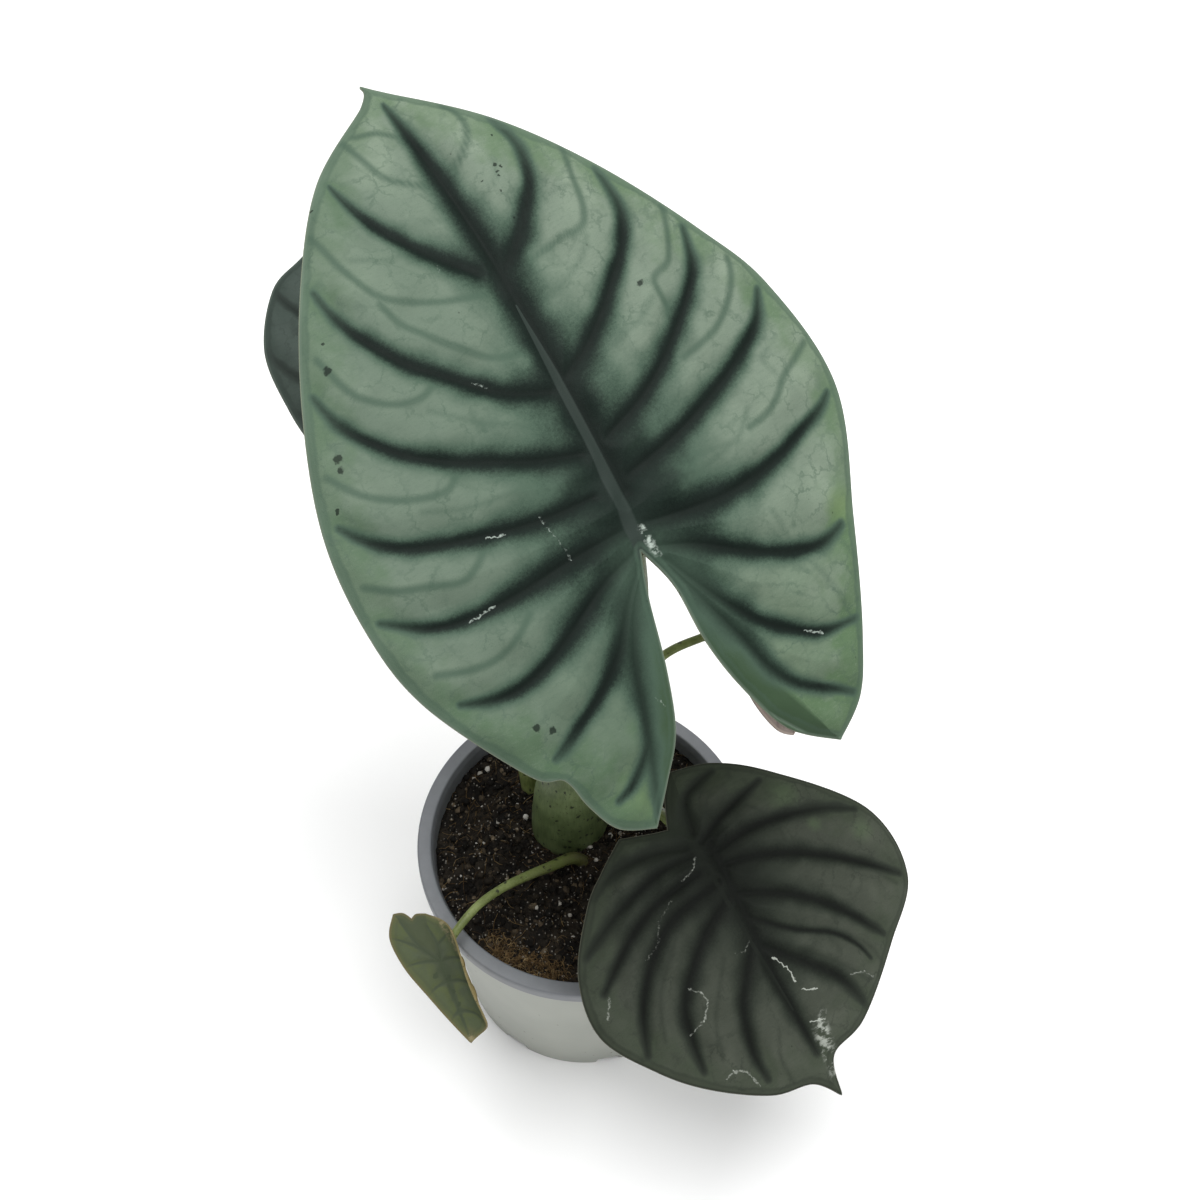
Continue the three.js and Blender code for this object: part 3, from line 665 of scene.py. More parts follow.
GRAIN_VEINS = {
    "blade_back": {"rib": (5.5, 4.0, 2.4, 0.6), "lobe": (4, 2, 0.8), "vein": (2.4, 1.0)},
    "blade_young": {"rib": (2.6, 2.0, 1.2, 0.3), "lobe": (1.8, 1, 0.5), "vein": (1.2, 0.5)},
    "blade_small": {"rib": (1.2, 0.8, 0.4, 0.2), "lobe": (0.5, 0.4, 0.3), "vein": (0.45, 0.25)},
}
LINE_STEPS = 16
print("veins:", {name: len(bands) for name, bands in VEINS.items()})


def whole_line(points, count):
    """A smooth line through all of the points, in an even count of places."""
    return through(points, np.linspace(0, 1, count) * (len(points) - 1))


def with_widths(line, widths):
    """A line with half widths beside its places, read from widths at even steps."""
    return np.column_stack([line, whole_line(np.array(widths, float)[:, None], len(line))])


def leaf_bands(name):
    """The dark bands of one leaf, as smooth lines of places and half widths. Where the leaf has no list, they
    are the midrib, the lobes' ribs and the lines of grain that end at a main vein."""
    if name in VEINS:
        return [whole_line(points, LINE_STEPS) for points in VEINS[name]]
    leaf, look = LEAVES[name], GRAIN_VEINS[name]
    bands = [with_widths(whole_line(leaf["midrib"], LINE_STEPS), look["rib"])]
    for key, hand in (("left", 1), ("right", -1)):
        half = leaf[key]
        bands.append(with_widths(whole_line(half["lobe_rib"], LINE_STEPS), look["lobe"]))
        for u, station in enumerate(half["outer"][1:-1], 1):
            if station[4]:
                share = np.linspace(0, 1, LINE_STEPS)
                line = outer_place(leaf, half, hand, np.full(LINE_STEPS, float(u)), share)
                bands.append(with_widths(line, look["vein"]))
    return bands


# %% [markdown]
# How each leaf's veins look, in millimetres: the spacing of its rows and the count of its columns, the pale
# strip on its midrib as across, along and half a width, how far the ribs stand out underneath at the midrib
# and at a vein, the depth of the grooves on top, how far from a band the skin is at its highest, over what
# width the fold is filled, and how wide the fine veins are.

# %% What the bands and fine veins do to a place on the leaf
VEIN_LOOK = {
    "blade_large": {"spacing": 1.0, "columns": 88, "strip": [(0, -3, 2.2), (0.8, 12, 2.4), (2.2, 28, 1.7),
                                                             (3.6, 52, 1.4), (4.8, 74, 0.3)],
                    "ridge": (2.4, 1.1), "groove": 0.22, "pillow": 11.0, "trough": 6.0, "fine": 2.1},
    "blade_dark": {"spacing": 0.8, "columns": 80, "strip": [(0, 2, 0.8), (1, 30, 0.8), (0, 60, 0.4)],
                   "ridge": (1.6, 0.8), "groove": 0.2, "pillow": 8.0, "trough": 3.5, "fine": 1.8},
    "blade_back": {"spacing": 1.1, "columns": 40, "strip": [(0, 0, 1.2), (1, 60, 0.3)],
                   "ridge": (1.4, 0.6), "groove": 0.25, "pillow": 7.0, "trough": 2.0, "fine": 1.2},
    "blade_young": {"spacing": 0.6, "columns": 32, "strip": [(0, 0, 0.7), (0, 40, 0.2)],
                    "ridge": (0.8, 0.35), "groove": 0.15, "pillow": 3.5, "trough": 1.0, "fine": 1.0},
    "blade_small": {"spacing": 0.6, "columns": 36, "strip": [(0, 0, 0.4), (0, 26, 0.2)],
                    "ridge": (0.5, 0.25), "groove": 0.12, "pillow": 3.0, "trough": 1.0, "fine": 1.0},
}
FORK_POWER = 2.6
GROOVE_WIDTH = 0.9
WANDER = 0.1
RIB_STEPS = 40


def vein_marks(name, places):
    """For flat places: the vein ratio, the fine veins, the strip's ratio, the ridges under the ribs, the
    grooves over them and the pillow, which rises from 0 on a band's line to 1 between the bands."""
    leaf, look = LEAVES[name], VEIN_LOOK[name]
    ratio_powers = np.zeros(len(places))
    nearest = np.full(len(places), np.inf)
    ridge = np.zeros(len(places))
    groove = np.zeros(len(places))
    wander = 1 + WANDER * waves(places[:, 0], places[:, 1], 0.1 * leaf["half_width"] + 2, 9)
    for band in leaf_bands(name):
        gap, far, width = line_distance(places, band)
        ratio_powers += (gap / (width * wander)).clip(1e-3) ** -FORK_POWER
        nearest = np.minimum(nearest, gap)
        reach = 0.9 * look["ridge"][1] * (1 - 0.6 * far) + 0.2
        ridge = np.maximum(ridge, look["ridge"][1] * (1.1 - far) * np.exp(-(gap / reach) ** 2))
        groove = np.maximum(groove, (1 - 0.7 * far) * np.exp(-(gap / GROOVE_WIDTH) ** 2))
    gap, far, _ = line_distance(places, whole_line(leaf["midrib"], RIB_STEPS))
    reach = 0.6 * look["ridge"][0] * (1 - far) + 0.25
    ridge = np.maximum(ridge, look["ridge"][0] * (1.05 - far) * np.exp(-(gap / reach) ** 2))
    gap, _, width = line_distance(places, np.array(look["strip"], float))
    strip = gap / width
    thin = np.zeros(len(places))
    for strength, lines in FINE_VEINS.get(name, {}).items():
        for points in lines:
            gap, _, _ = line_distance(places, whole_line(points, 4 * len(points)))
            thin = np.maximum(thin, strength * np.clip(1 - gap / look["fine"], 0, 1))
    vein = ratio_powers ** (-1 / FORK_POWER)
    rise = np.clip(nearest / look["pillow"], 0, 1)
    pillow = rise ** 1.5 * (2.5 - 1.5 * rise)
    return vein, thin, strip, ridge, groove, pillow


# %% [markdown]
# A blade is one closed skin. Each row of its table runs from the rib to the margin on top, turns round the
# margin in a small half circle and runs back underneath, in longer steps. The top sinks along the veins and
# the underside grows ribs there. The two halves meet in a fold, and thick flesh rounds the bottom of that
# fold. The right half is the left one's mirror image, so its rows run the other way, and both halves have
# their faces outwards.

# %% A blade's skin
BLADE_THICK = 0.7
MARGIN_TURNS = 3
UNDER_STEP = 4
CALM_EDGE = 3.0
FLAT_EDGE_SHARE = 0.12
RIPPLE = 0.22
RIPPLE_SHARE = 0.16
FINE_DEPTH = 0.2
FINE_RISE = 0.25
INSIDE_FROM = 0.25


def outwards_from(margin, flat, hand):
    """The direction out of the blade at each place of its margin, square to the way that the margin runs."""
    tangent = np.gradient(margin, axis=0)
    away = np.stack([-tangent[:, 1], tangent[:, 0]], -1) * -hand
    away[0] = margin[0] - flat[1, 0]
    away[-1] = (0, -1)
    return away / np.maximum(np.linalg.norm(away, axis=-1, keepdims=True), 1e-9)


def lifts(leaf, look, flat, edge, thin, ridge, groove, pillow):
    """How far the top and the underside stand off the flat blade. Both follow the panels, which rise between
    the veins and fall to the margin as a parabola. Where the halves fold, a hyperbola fills the top."""
    near_edge = np.clip(edge / (FLAT_EDGE_SHARE * leaf["half_width"]), 0, 1)
    ripple = RIPPLE * waves(flat[..., 0], flat[..., 1], RIPPLE_SHARE * leaf["half_width"] + 3, 5)
    body = leaf["quilt"] * (pillow + ripple * np.clip(pillow * 2, 0, 1)) * near_edge * (2 - near_edge)
    fold = np.mean(np.tan(np.radians(leaf["cup"])))
    filled = fold * (np.sqrt(flat[..., 0] ** 2 + look["trough"] ** 2) - np.abs(flat[..., 0]))
    sunk = look["groove"] * (groove + FINE_DEPTH * thin)
    calm = np.clip(edge / CALM_EDGE, 0, 1)
    top = body + BLADE_THICK / 2 + (filled - sunk) * calm
    return top, body - BLADE_THICK / 2 - (ridge + FINE_RISE * thin) * calm


def wrap(top, rim):
    """A table's values on top, then round the margin, and then back underneath in longer steps."""
    return np.concatenate([top, rim, top[:, ::-UNDER_STEP]], 1)


def blade_skin(name):
    """The tables of points and marks for both halves of one blade. The right half is a mirror image, so its
    rows are put in the opposite order."""
    leaf, look = LEAVES[name], VEIN_LOOK[name]
    layouts = {key: half_layout(leaf, leaf[key], hand, look["spacing"], look["columns"])
               for key, hand in (("left", 1), ("right", -1))}
    margins = [layouts[key][0][::4, -1] for key in layouts]
    angle = np.linspace(np.pi / 2, -np.pi / 2, MARGIN_TURNS + 2)[1:-1]
    grids = []
    marks = {mark: [] for mark in ("flat", "vein", "thin", "strip", "edge", "inside", "under")}
    for key, hand in (("left", 1), ("right", -1)):
        flat, inside = layouts[key]
        shape = flat.shape[:2]
        places = flat.reshape(-1, 2)
        vein, thin, strip, ridge, groove, pillow = (v.reshape(shape) for v in vein_marks(name, places))
        edge = np.min([line_distance(places, margin)[0] for margin in margins], axis=0).reshape(shape)
        top, bottom = lifts(leaf, look, flat, edge, thin, ridge, groove, pillow)
        margin = flat[:, -1]
        out = (np.cos(angle) * (BLADE_THICK / 2))[None, :, None]
        spread = wrap(flat, margin[:, None] + outwards_from(margin, flat, hand)[:, None] * out)
        rim_lift = np.broadcast_to(np.sin(angle) * (BLADE_THICK / 2), (len(flat), len(angle)))
        lift = np.concatenate([top, rim_lift, bottom[:, ::-UNDER_STEP]], 1)
        grids.append(bend(leaf, spread[..., 0], spread[..., 1], lift, look["trough"] / 2)[::hand])

        rim = np.ones((len(flat), len(angle)))
        from_rib = np.clip(np.linspace(0, 1, shape[1]) / INSIDE_FROM, 0, 1)
        under = np.zeros(shape)
        tables = {
            "flat": np.concatenate([spread, np.zeros_like(spread[..., :1])], -1),
            "vein": wrap(vein, vein[:, -1:] * rim), "thin": wrap(thin, 0 * rim),
            "strip": wrap(strip, strip[:, -1:] * rim), "edge": wrap(edge, 0 * rim),
            "inside": wrap(inside[:, None] * from_rib, inside[:, None] * rim),
            "under": np.concatenate([under, 0.5 * rim, 1 + under[:, ::-UNDER_STEP]], 1),
        }
        for mark, table in tables.items():
            marks[mark].append(table[::hand])
    return grids, marks


# %% [markdown]
# ## The finish of a leaf
# The top is a matt grey-green with a silver bloom between the veins, greener near the margin, and nearly
# black along the veins and round the stalk. The edge between silver and black isn't sharp: it looks sprayed,
# because single cells are either silver or dark. So the vein ratio is shaken by fine grain before it is
# turned into a colour. A thin dark vein runs just inside the margin. Scratches and specks tell that the leaf
# has lived. The underside is paler and browner, with brown ribs.
#
# Marks that lie at one place are listed on the flat leaf too. A heart is the dark place round the stalk, with
# the distances at which it is full and gone. Pale patches and specks are across, along and a radius; the
# large leaf's first patch, at the end of its left lobe, is a painted highlight. Scratches are lines by
# strength, and a tear is a stroke from one place to another with a width.

# %% A leaf's tones, and the marks that lie at one place
LEAF_TONES = {
    "leaf_large": {
        "silver": "5b675a", "pale": "687465", "green": "465a41", "halo": "37483c", "vein": "0e1914",
        "core": "040c08", "strip": "242c28", "band": "3e4f43", "brim": "525f53", "inside": "2f402d",
        "patch_and_highlight": "62764c", "scratch": "939d95", "under": "8c917c", "under_vein": "5d5648",
    },
    "leaf_dark": {
        "silver": "353931", "pale": "40443b", "green": "32392d", "halo": "242922", "vein": "131712",
        "core": "060906", "strip": "141813", "band": "2e3329", "brim": "1f221c", "inside": "2a3026",
        "patch_and_highlight": "43513a", "scratch": "8d9189", "under": "6f6f60", "under_vein": "4a4339",
    },
    # The back leaf's tones are darker and greyer than the large leaf's: painted shade, for the shade it
    # stands in behind the large leaf.
    "leaf_back": {
        "silver": "363f3a", "pale": "3a433e", "green": "2e3732", "halo": "262d29", "vein": "1b221e",
        "core": "141a17", "strip": "1d2420", "band": "2c3530", "brim": "48514b", "inside": "28322a",
        "patch_and_highlight": "3a453c", "scratch": "6a726c", "under": "7d8170", "under_vein": "554e42",
    },
    "leaf_young": {
        "silver": "6f655f", "pale": "776d67", "green": "63594f", "halo": "4f4743", "vein": "403835",
        "core": "342d2b", "strip": "443c38", "band": "766b65", "brim": "97897f", "inside": "5f564e",
        "patch_and_highlight": "6f655f", "scratch": "8a8078", "under": "8c827b", "under_vein": "574d48",
    },
    "leaf_small": {
        "silver": "464d40", "pale": "4c5444", "green": "505838", "halo": "444b3b", "vein": "414938",
        "core": "3c4434", "strip": "414938", "band": "565a3b", "brim": "665f44", "inside": "464d3a",
        "patch_and_highlight": "746446", "scratch": "857c5f", "under": "867850", "under_vein": "564a33",
    },
}
HEARTS = {
    "leaf_large": ((4, 15, 0), 12, 40), "leaf_dark": ((-4, 12, 0), 6, 30), "leaf_back": ((0, 8, 0), 3, 16),
    "leaf_young": ((0, 4, 0), 1, 8), "leaf_small": ((0, 3, 0), 1, 6),
}
# Pale yellow-green patches; the first one of the large leaf is a painted highlight on its left lobe.
PALE_PATCHES_AND_HIGHLIGHT = {
    "leaf_large": [(-30, -60, 14), (60, -19, 8)],
    "leaf_dark": [(-36, 0, 9), (-40, 13, 4), (-55, 24, 6)],
    "leaf_small": [(0, 29, 6), (6, -20, 5)],
}
SPECKS = {
    "leaf_large": [
        (22, 113, 0.8), (21.5, 110.5, 0.6), (23.5, 112, 0.5), (21, 109, 0.4), (19, 105, 0.6), (27, 122, 0.5),
        (16, 110, 0.4), (18.5, 97, 0.5), (-31, 124, 0.5), (-49, 87.5, 0.5), (-69, 46, 0.6), (-52, 80, 1.4),
        (-62, 58, 1.6), (-63, 55, 1.3), (39, 63, 1.2), (-51, -29, 1.2), (-47.5, -32, 1.2),
    ],
    "leaf_small": [(-0.5, 6, 1.2), (-0.5, 11, 1.0), (-0.7, 16, 0.9), (3.5, 3.5, 1.3)],
}
SCRATCHES = {
    "leaf_large": {
        0.7: [[(-38, 21), (-33, 19.5)], [(-53, 3.8), (-45, 4.2)], [(33, -45), (38, -48.5)]],
        0.45: [
            [(-10, 92), (-9, 94)], [(-19, 60), (-16, 57)], [(-17, -39), (-15, -43)], [(-22, 19), (-20, 5)],
        ],
    },
    "leaf_dark": {
        1.0: [[(-5.5, 52.5), (-5, 47), (-3, 42)], [(-10, 58), (-6, 56)], [(-3, 66), (-8, 68)]],
        0.6: [
            [(34, 48), (28, 46), (24, 42), (24, 38), (27, 35)], [(22.5, 74), (24, 67), (28, 65), (31, 66)],
            [(-30, 66), (-28, 63), (-23, 61)], [(2, 1), (5, 4), (10, 5)], [(54, 29), (50, 24)],
        ],
        0.4: [[(34, 20), (28, 18), (24, 12), (17, 8.5)], [(1, 33), (4, 35), (8, 34)]],
    },
}
SCRATCH_WIDTH = 0.36
# Painted shade: how much the large leaf's left half is darkened, as if less light fell on it.
PAINTED_LEFT_SHADE = {"leaf_large": 0.36}
TEARS = {
    "leaf_dark": [((-5, 70), (-3, 84), 3.6), ((-8, 66), (-5, 70), 2.0)],
    "leaf_large": [((3, 3), (3.6, -5), 1.6)],
    "leaf_small": [((-5, -14), (-9, -9), 3.0), ((-9, -9), (-13, 3), 4.8), ((-13, 3), (-13.5, 13), 4.4),
                   ((-13.5, 13), (-11, 22), 2.4), ((0, 30), (-1, 27), 1.5)],
}


# %% What all of a leaf's tones share
class LeafSheet(Sheet):
    """A leaf's sheet of nodes, with the marks on its mesh and noises from fine grain to broad clouds."""

    def __init__(self, name):
        super().__init__(name)
        self.name = name
        self.tone = LEAF_TONES[name]
        self.flat = self.mark("flat", "Vector")
        self.vein, self.thin, self.strip = (self.mark(mark) for mark in ("vein", "thin", "strip"))
        self.edge, self.inside, self.under = (self.mark(mark) for mark in ("edge", "inside", "under"))
        self.fine = self.noise(self.flat, 2.6, 3.0, 0.65)
        self.spray = self.noise(self.flat, 0.9, 4.0, 0.7)
        self.patch = self.noise(self.flat, 0.22, 3.0, 0.6)
        self.cloud = self.noise(self.flat, 0.055, 2.0)
        self.streak = self.noise(self.vector("MULTIPLY", self.flat, (0.35, 1.0, 1.0)), 1.1, 4.0, 0.75)
        self.uneven = self.drift(self.flat, 0.7, 2.0, (2.0, 2.0, 0.0))
        self.shifted = self.vector("ADD", self.flat, self.uneven)
        heart, self.full, self.gone = HEARTS[name]
        to_heart = self.vector("DISTANCE", self.flat, heart, out="Value")
        self.from_heart = to_heart + self.patch * self.gone * 0.3

    def tint(self, shade, share, tone):
        """The shade, turned into one of the leaf's tones as share goes from 0 to 1."""
        return self.mix(share, shade, self.tone[tone])

    def along(self, x, y):
        """How far a flat place lies in the direction x, y."""
        return self.vector("DOT_PRODUCT", self.flat, (x, y, 0.0), out="Value")


# %% The skin between the veins
def small_net(leaf):
    """The smallest veins: the walls between uneven cells, which clouds hide here and there."""
    place = leaf.vector("ADD", leaf.flat, leaf.vector("MULTIPLY", leaf.uneven, (2.0, 2.0, 0.0)))
    walls = leaf.add("ShaderNodeTexVoronoi", {"feature": "DISTANCE_TO_EDGE"},
                     {"Vector": place, "Scale": 0.13}, out="Distance")
    seen = leaf.smooth(leaf.patch + leaf.cloud, -0.25, 0.35)
    return leaf.smooth(walls + leaf.fine * 0.04, 0.075, 0.0) * seen


def skin_tone(leaf):
    """Silver that turns green near the margin, and greener and darker towards the lobes, partly their own
    colour and partly painted shade. Palest far from the veins, partly the skin's own bloom and partly a
    painted highlight on the crowns of the panels. Mottled and streaked, with pale patches, one a painted
    highlight on the large leaf's left lobe, side veins, the small net, the dark heart and painted shade over
    the large leaf's left half."""
    green = leaf.smooth(leaf.edge + leaf.cloud * 26 + leaf.patch * 12, 16.0, 3.0)
    # Greener and darker towards the lobes: partly their own deeper green, partly painted shade for the shaded
    # relief of the lobes.
    green = green + leaf.smooth(leaf.along(0.0, 1.0), 5.0, -60.0) * 0.6
    shade = leaf.mix(green * 0.8, leaf.tone["silver"], leaf.tone["green"])
    # Palest far from the veins: partly the skin's own bloom, partly a painted highlight on the crowns of the
    # swollen panels.
    pale = leaf.smooth(leaf.vein + leaf.patch * 1.5, 2.2, 5.0) * (1 - green * 0.6)
    shade = leaf.tint(shade, pale, "pale")
    shade = leaf.tint(shade, leaf.smooth(leaf.patch + leaf.fine * 0.8, 0.05, 0.5) * 0.42, "halo")
    streak = leaf.streak + leaf.fine * 0.7
    shade = leaf.tint(shade, leaf.smooth(streak, 0.0, 0.42) * 0.5, "halo")
    shade = leaf.tint(shade, leaf.smooth(streak, 0.0, -0.42) * 0.6, "pale")
    # Pale patches, one of them a painted highlight on the large leaf's left lobe.
    for place in PALE_PATCHES_AND_HIGHLIGHT.get(leaf.name, ()):
        shade = leaf.tint(shade, leaf.dot(leaf.shifted, place, 0.0) * 0.5, "patch_and_highlight")
    side_vein = leaf.smooth(leaf.thin + leaf.fine * 0.35 + leaf.spray * 0.3, 0.05, 0.95)
    shade = leaf.tint(shade, side_vein * 0.8, "halo")
    shade = leaf.tint(shade, small_net(leaf) * 0.55, "halo")
    shade = leaf.tint(shade, leaf.smooth(leaf.from_heart, leaf.gone, leaf.full) * 0.95, "halo")
    # Painted shade: the large leaf is darkened more and more to the left of its midrib.
    if leaf.name in PAINTED_LEFT_SHADE:
        across = leaf.along(1.0, 0.0) + leaf.patch * 10
        shade = leaf.tint(shade, leaf.smooth(across, 14.0, -26.0) * PAINTED_LEFT_SHADE[leaf.name], "halo")
    return leaf.tint(shade, leaf.inside, "inside")


# %% Veins, margin, wear and underside
def with_veins(leaf, shade):
    """Three tones, each darker and narrower, by the shaken vein ratio, which fade towards the margin, and the
    pale strip on the midrib."""
    shaken = leaf.vein + (leaf.fine * 0.5 + leaf.spray * 0.6)
    fade = 0.3 + leaf.smooth(leaf.edge, 1.5, 17.0) * 0.7
    shade = leaf.tint(shade, leaf.smooth(shaken, 2.1, 0.85), "halo")
    shade = leaf.tint(shade, leaf.smooth(shaken, 1.3, 0.4) * fade, "vein")
    shade = leaf.tint(shade, leaf.smooth(leaf.from_heart, leaf.gone * 0.62, leaf.full * 0.5) * 0.9, "vein")
    shade = leaf.tint(shade, leaf.smooth(shaken, 0.6, 0.05) * 0.8 * fade, "core")
    return leaf.tint(shade, leaf.smooth(leaf.strip + leaf.fine * 0.3, 1.15, 0.75) * 0.85, "strip")


def with_margin(leaf, shade):
    """A band along the margin, a thin dark vein about 2 mm inside it, and a pale brim."""
    from_line = leaf.edge + leaf.patch * 1.6 + leaf.cloud * 2 - 1.9
    line_gap = leaf.add("ShaderNodeMath", {"operation": "ABSOLUTE"}, {0: from_line})
    shade = leaf.tint(shade, leaf.smooth(from_line, 1.0, -1.0) * (1 - leaf.inside * 0.7) * 0.5, "band")
    shade = leaf.tint(shade, leaf.smooth(line_gap, 0.9, 0.1) * 0.4, "halo")
    return leaf.tint(shade, leaf.smooth(leaf.edge, 0.7, 0.2) * 0.6, "brim")


def with_wear(leaf, shade):
    """Dark specks, pale scratches that the grain breaks up, and torn or dried places."""
    specks = leaf.spots(leaf.flat, 0.16, 0.4, 0.3) * 0.55
    for place in SPECKS.get(leaf.name, ()):
        specks = specks + leaf.dot(leaf.shifted, place, 0.6)
    shade = leaf.tint(shade, specks * 0.8, "core")
    for strength, lines in SCRATCHES.get(leaf.name, {}).items():
        strokes = [ends for line in lines for ends in zip(line, line[1:])]
        scratched = sum(leaf.stroke(leaf.shifted, *ends, SCRATCH_WIDTH) for ends in strokes)
        broken = leaf.smooth(leaf.spray, 0.1 - 0.4 * strength, 0.35 - 0.4 * strength)
        shade = leaf.tint(shade, scratched * broken * strength, "scratch")
    for tear in TEARS.get(leaf.name, ()):
        torn = leaf.stroke(leaf.shifted, *tear) * leaf.smooth(leaf.streak + leaf.patch * 1.5, -0.12, 0.2)
        shade = leaf.tint(shade, torn * 0.9, "scratch")
    return shade


def underside(leaf):
    """The paler, browner underside with its brown ribs."""
    ribs = leaf.smooth(leaf.vein + leaf.spray * 0.5, 0.9, 0.2)
    shade = leaf.mix(ribs, leaf.tone["under"], leaf.tone["under_vein"])
    shade = leaf.tint(shade, leaf.thin * 0.5, "under_vein")
    return leaf.tint(shade, leaf.smooth(leaf.patch + leaf.fine * 0.5, -0.1, 0.5) * 0.3, "under_vein")


# %% The whole finish of a leaf
LEAF_RELIEF = 0.12 * MM
LEAF_SHINE = 0.09
LEAF_ROUGHNESS = 0.62


def leaf_finish(name):
    """The finish of one leaf, from its tones and the marks on its mesh."""
    leaf = LeafSheet(name)
    above = with_wear(leaf, with_margin(leaf, with_veins(leaf, skin_tone(leaf))))
    base = leaf.mix(leaf.under, above, underside(leaf))
    relief = leaf.fine * 0.5 + leaf.spray * 0.5
    return leaf.finish(base, LEAF_ROUGHNESS + leaf.patch * 0.16, relief, LEAF_RELIEF, LEAF_SHINE)


# %% The five blades
for name, slot in (("blade_large", "leaf_large"), ("blade_dark", "leaf_dark"), ("blade_back", "leaf_back"),
                   ("blade_young", "leaf_young"), ("blade_small", "leaf_small")):
    blade = grid_piece(name.replace("blade", "leaf") + "_blade", *blade_skin(name), slot, [name])
    blade.data.materials.append(leaf_finish(slot))

# %% [markdown]
# ## The stalks
# Each leaf stands on a round fleshy stalk. The largest one swells at its foot into the sheath that the other
# stalks come out of. A stalk is a circle carried along a line through a few places, so its skin is a table:
# how far along it, and how far round.

# %% Tubes along a path: places and radii
STEMS = {
    "stem_and_large_petiole": [
        (-5, 10, 60, 11), (-5, 10, 72, 14), (-5, 10, 92, 14), (-5, 10, 108, 13.2), (-4, 10, 126, 11.5),
        (1, 9, 148, 6.5), (8, 7, 176, 3.6), (15, 4, 212, 2.4), (18, 1.5, 246, 1.9), (16.6, 2, 272.3, 1.8),
    ],
    "petiole_dark_leaf": [
        (14, 12, 78, 3.4), (14.5, 12, 92, 3.3), (18, 7.5, 112, 2.5), (24, -3, 129, 2.1),
        (31, -15.5, 139, 1.9), (37.6, -27.4, 142.9, 1.8),
    ],
    "petiole_small_leaf": [
        (2, -6.5, 78, 2.6), (1.5, -7, 90, 2.6), (-3.4, -7.8, 99, 2.2), (-11.9, -13.2, 103, 1.8),
        (-20.4, -18.7, 106.5, 1.6), (-28.6, -24, 108, 1.5), (-36.7, -30.9, 108.5, 1.45),
        (-44, -39.5, 106, 1.4), (-49, -47.6, 101.6, 1.4),
    ],
    "petiole_back_leaf": [
        (-18, 23, 78, 4), (-19, 24, 92, 4), (-24, 33, 124, 3), (-34, 51, 160, 2.2), (-48, 73, 190, 1.9),
        (-59.2, 90.6, 212.2, 1.8),
    ],
    "petiole_young_leaf": [
        (9, 23, 80, 3), (10, 24, 92, 2.8), (13, 28, 120, 2), (18, 32, 148, 1.7), (27, 35.5, 165, 1.6),
        (40, 37, 174.5, 1.5), (53.7, 38.8, 178.6, 1.4),
    ],
}


OVAL = 0.04


def tube(path, steps, sides):
    """A slightly oval tube's table of points, and how far along it they are. Its side directions lie across
    the path and across one level direction that the path never follows, so the tube doesn't twist."""
    path = np.asarray(path, float)
    u = np.linspace(0, len(path) - 1, steps + 1)
    line = through(path, u)
    tangent = np.gradient(line[:, :3], axis=0)
    tangent /= np.linalg.norm(tangent, axis=1, keepdims=True)
    span = path[-1, :3] - path[0, :3]
    level = np.array([-span[1], span[0], 0]) / np.hypot(span[0], span[1])
    over = np.cross(tangent, level)
    over /= np.linalg.norm(over, axis=1, keepdims=True)
    right = np.cross(over, tangent)
    angle = full_turn(sides)
    radius = line[:, 3:] * (1 + OVAL * np.cos(angle * 2 + 1) * np.ones((steps + 1, 1)))
    spokes = right[:, None] * np.cos(angle)[None, :, None] + over[:, None] * np.sin(angle)[None, :, None]
    table = line[:, None, :3] + spokes * radius[..., None]
    length = np.concatenate([[0], np.cumsum(np.linalg.norm(np.diff(line[:, :3], axis=0), axis=1))])
    table[0], table[-1] = line[0, :3], line[-1, :3]
    return table, np.broadcast_to(length[:, None], table.shape[:2])


def stalk_finish(name, base, light, dark, speck_share):
    """A smooth green skin with small black specks of uneven shape, stained brown where it leaves the mix."""
    sheet = Sheet(name)
    skin = sheet.mark("skin", "Vector")
    uneven = sheet.drift(skin, 0.8, 3.0, (2.2, 2.2, 2.2))
    squeezed = sheet.vector("MULTIPLY", sheet.vector("ADD", skin, uneven), (1.0, 1.0, 0.7))
    specks = sheet.spots(squeezed, 0.4, 0.75, speck_share)
    flecks = sheet.spots(squeezed, 0.9, 0.35, speck_share * 0.6, 7.0)
    cloud = sheet.noise(skin, 0.12, 3.0)
    streaks = sheet.noise(sheet.vector("MULTIPLY", skin, (1.0, 1.0, 0.06)), 1.6, 3.0)
    shade = sheet.mix(sheet.smooth(cloud + streaks * 0.5, -0.25, 0.3), base, light)
    foot = sheet.mark("foot")
    shade = sheet.mix(sheet.smooth(foot + cloud * 0.9, 0.5, 1.1) * 0.8, shade, "3a3320")
    shade = sheet.mix((specks + flecks * 0.6) * 0.9, shade, dark)
    return sheet.finish(shade, 0.42 + cloud * 0.2, streaks * 0.6, 0.15 * MM, 0.3)


SOIL_LEVEL = 93.0
STAIN_HEIGHT = 5.0
SMALL_STAIN_LENGTH = 46.0
STAIN_MOST = 1.5
stem_skin = stalk_finish("stem_skin", "4d5b38", "6c7b52", "12150e", 0.6)
stalk_skin = stalk_finish("stalk_skin", "5f6a38", "7f8b54", "1c2016", 0.45)
for name, path in STEMS.items():
    thick = name.startswith("stem")
    table, along = tube(path, 220 if thick else 150, 48 if thick else 24)
    foot = np.clip((SOIL_LEVEL + STAIN_HEIGHT - table[..., 2]) / STAIN_HEIGHT, 0, STAIN_MOST)
    if name == "petiole_small_leaf":
        foot = np.clip(STAIN_MOST - along / SMALL_STAIN_LENGTH, 0, STAIN_MOST)
    stalk = grid_piece(name.replace("petiole", "stalk"), [table], {"skin": [table], "foot": [foot]},
                       "petiole_green", [name])
    stalk.data.materials.append(stem_skin if thick else stalk_skin)

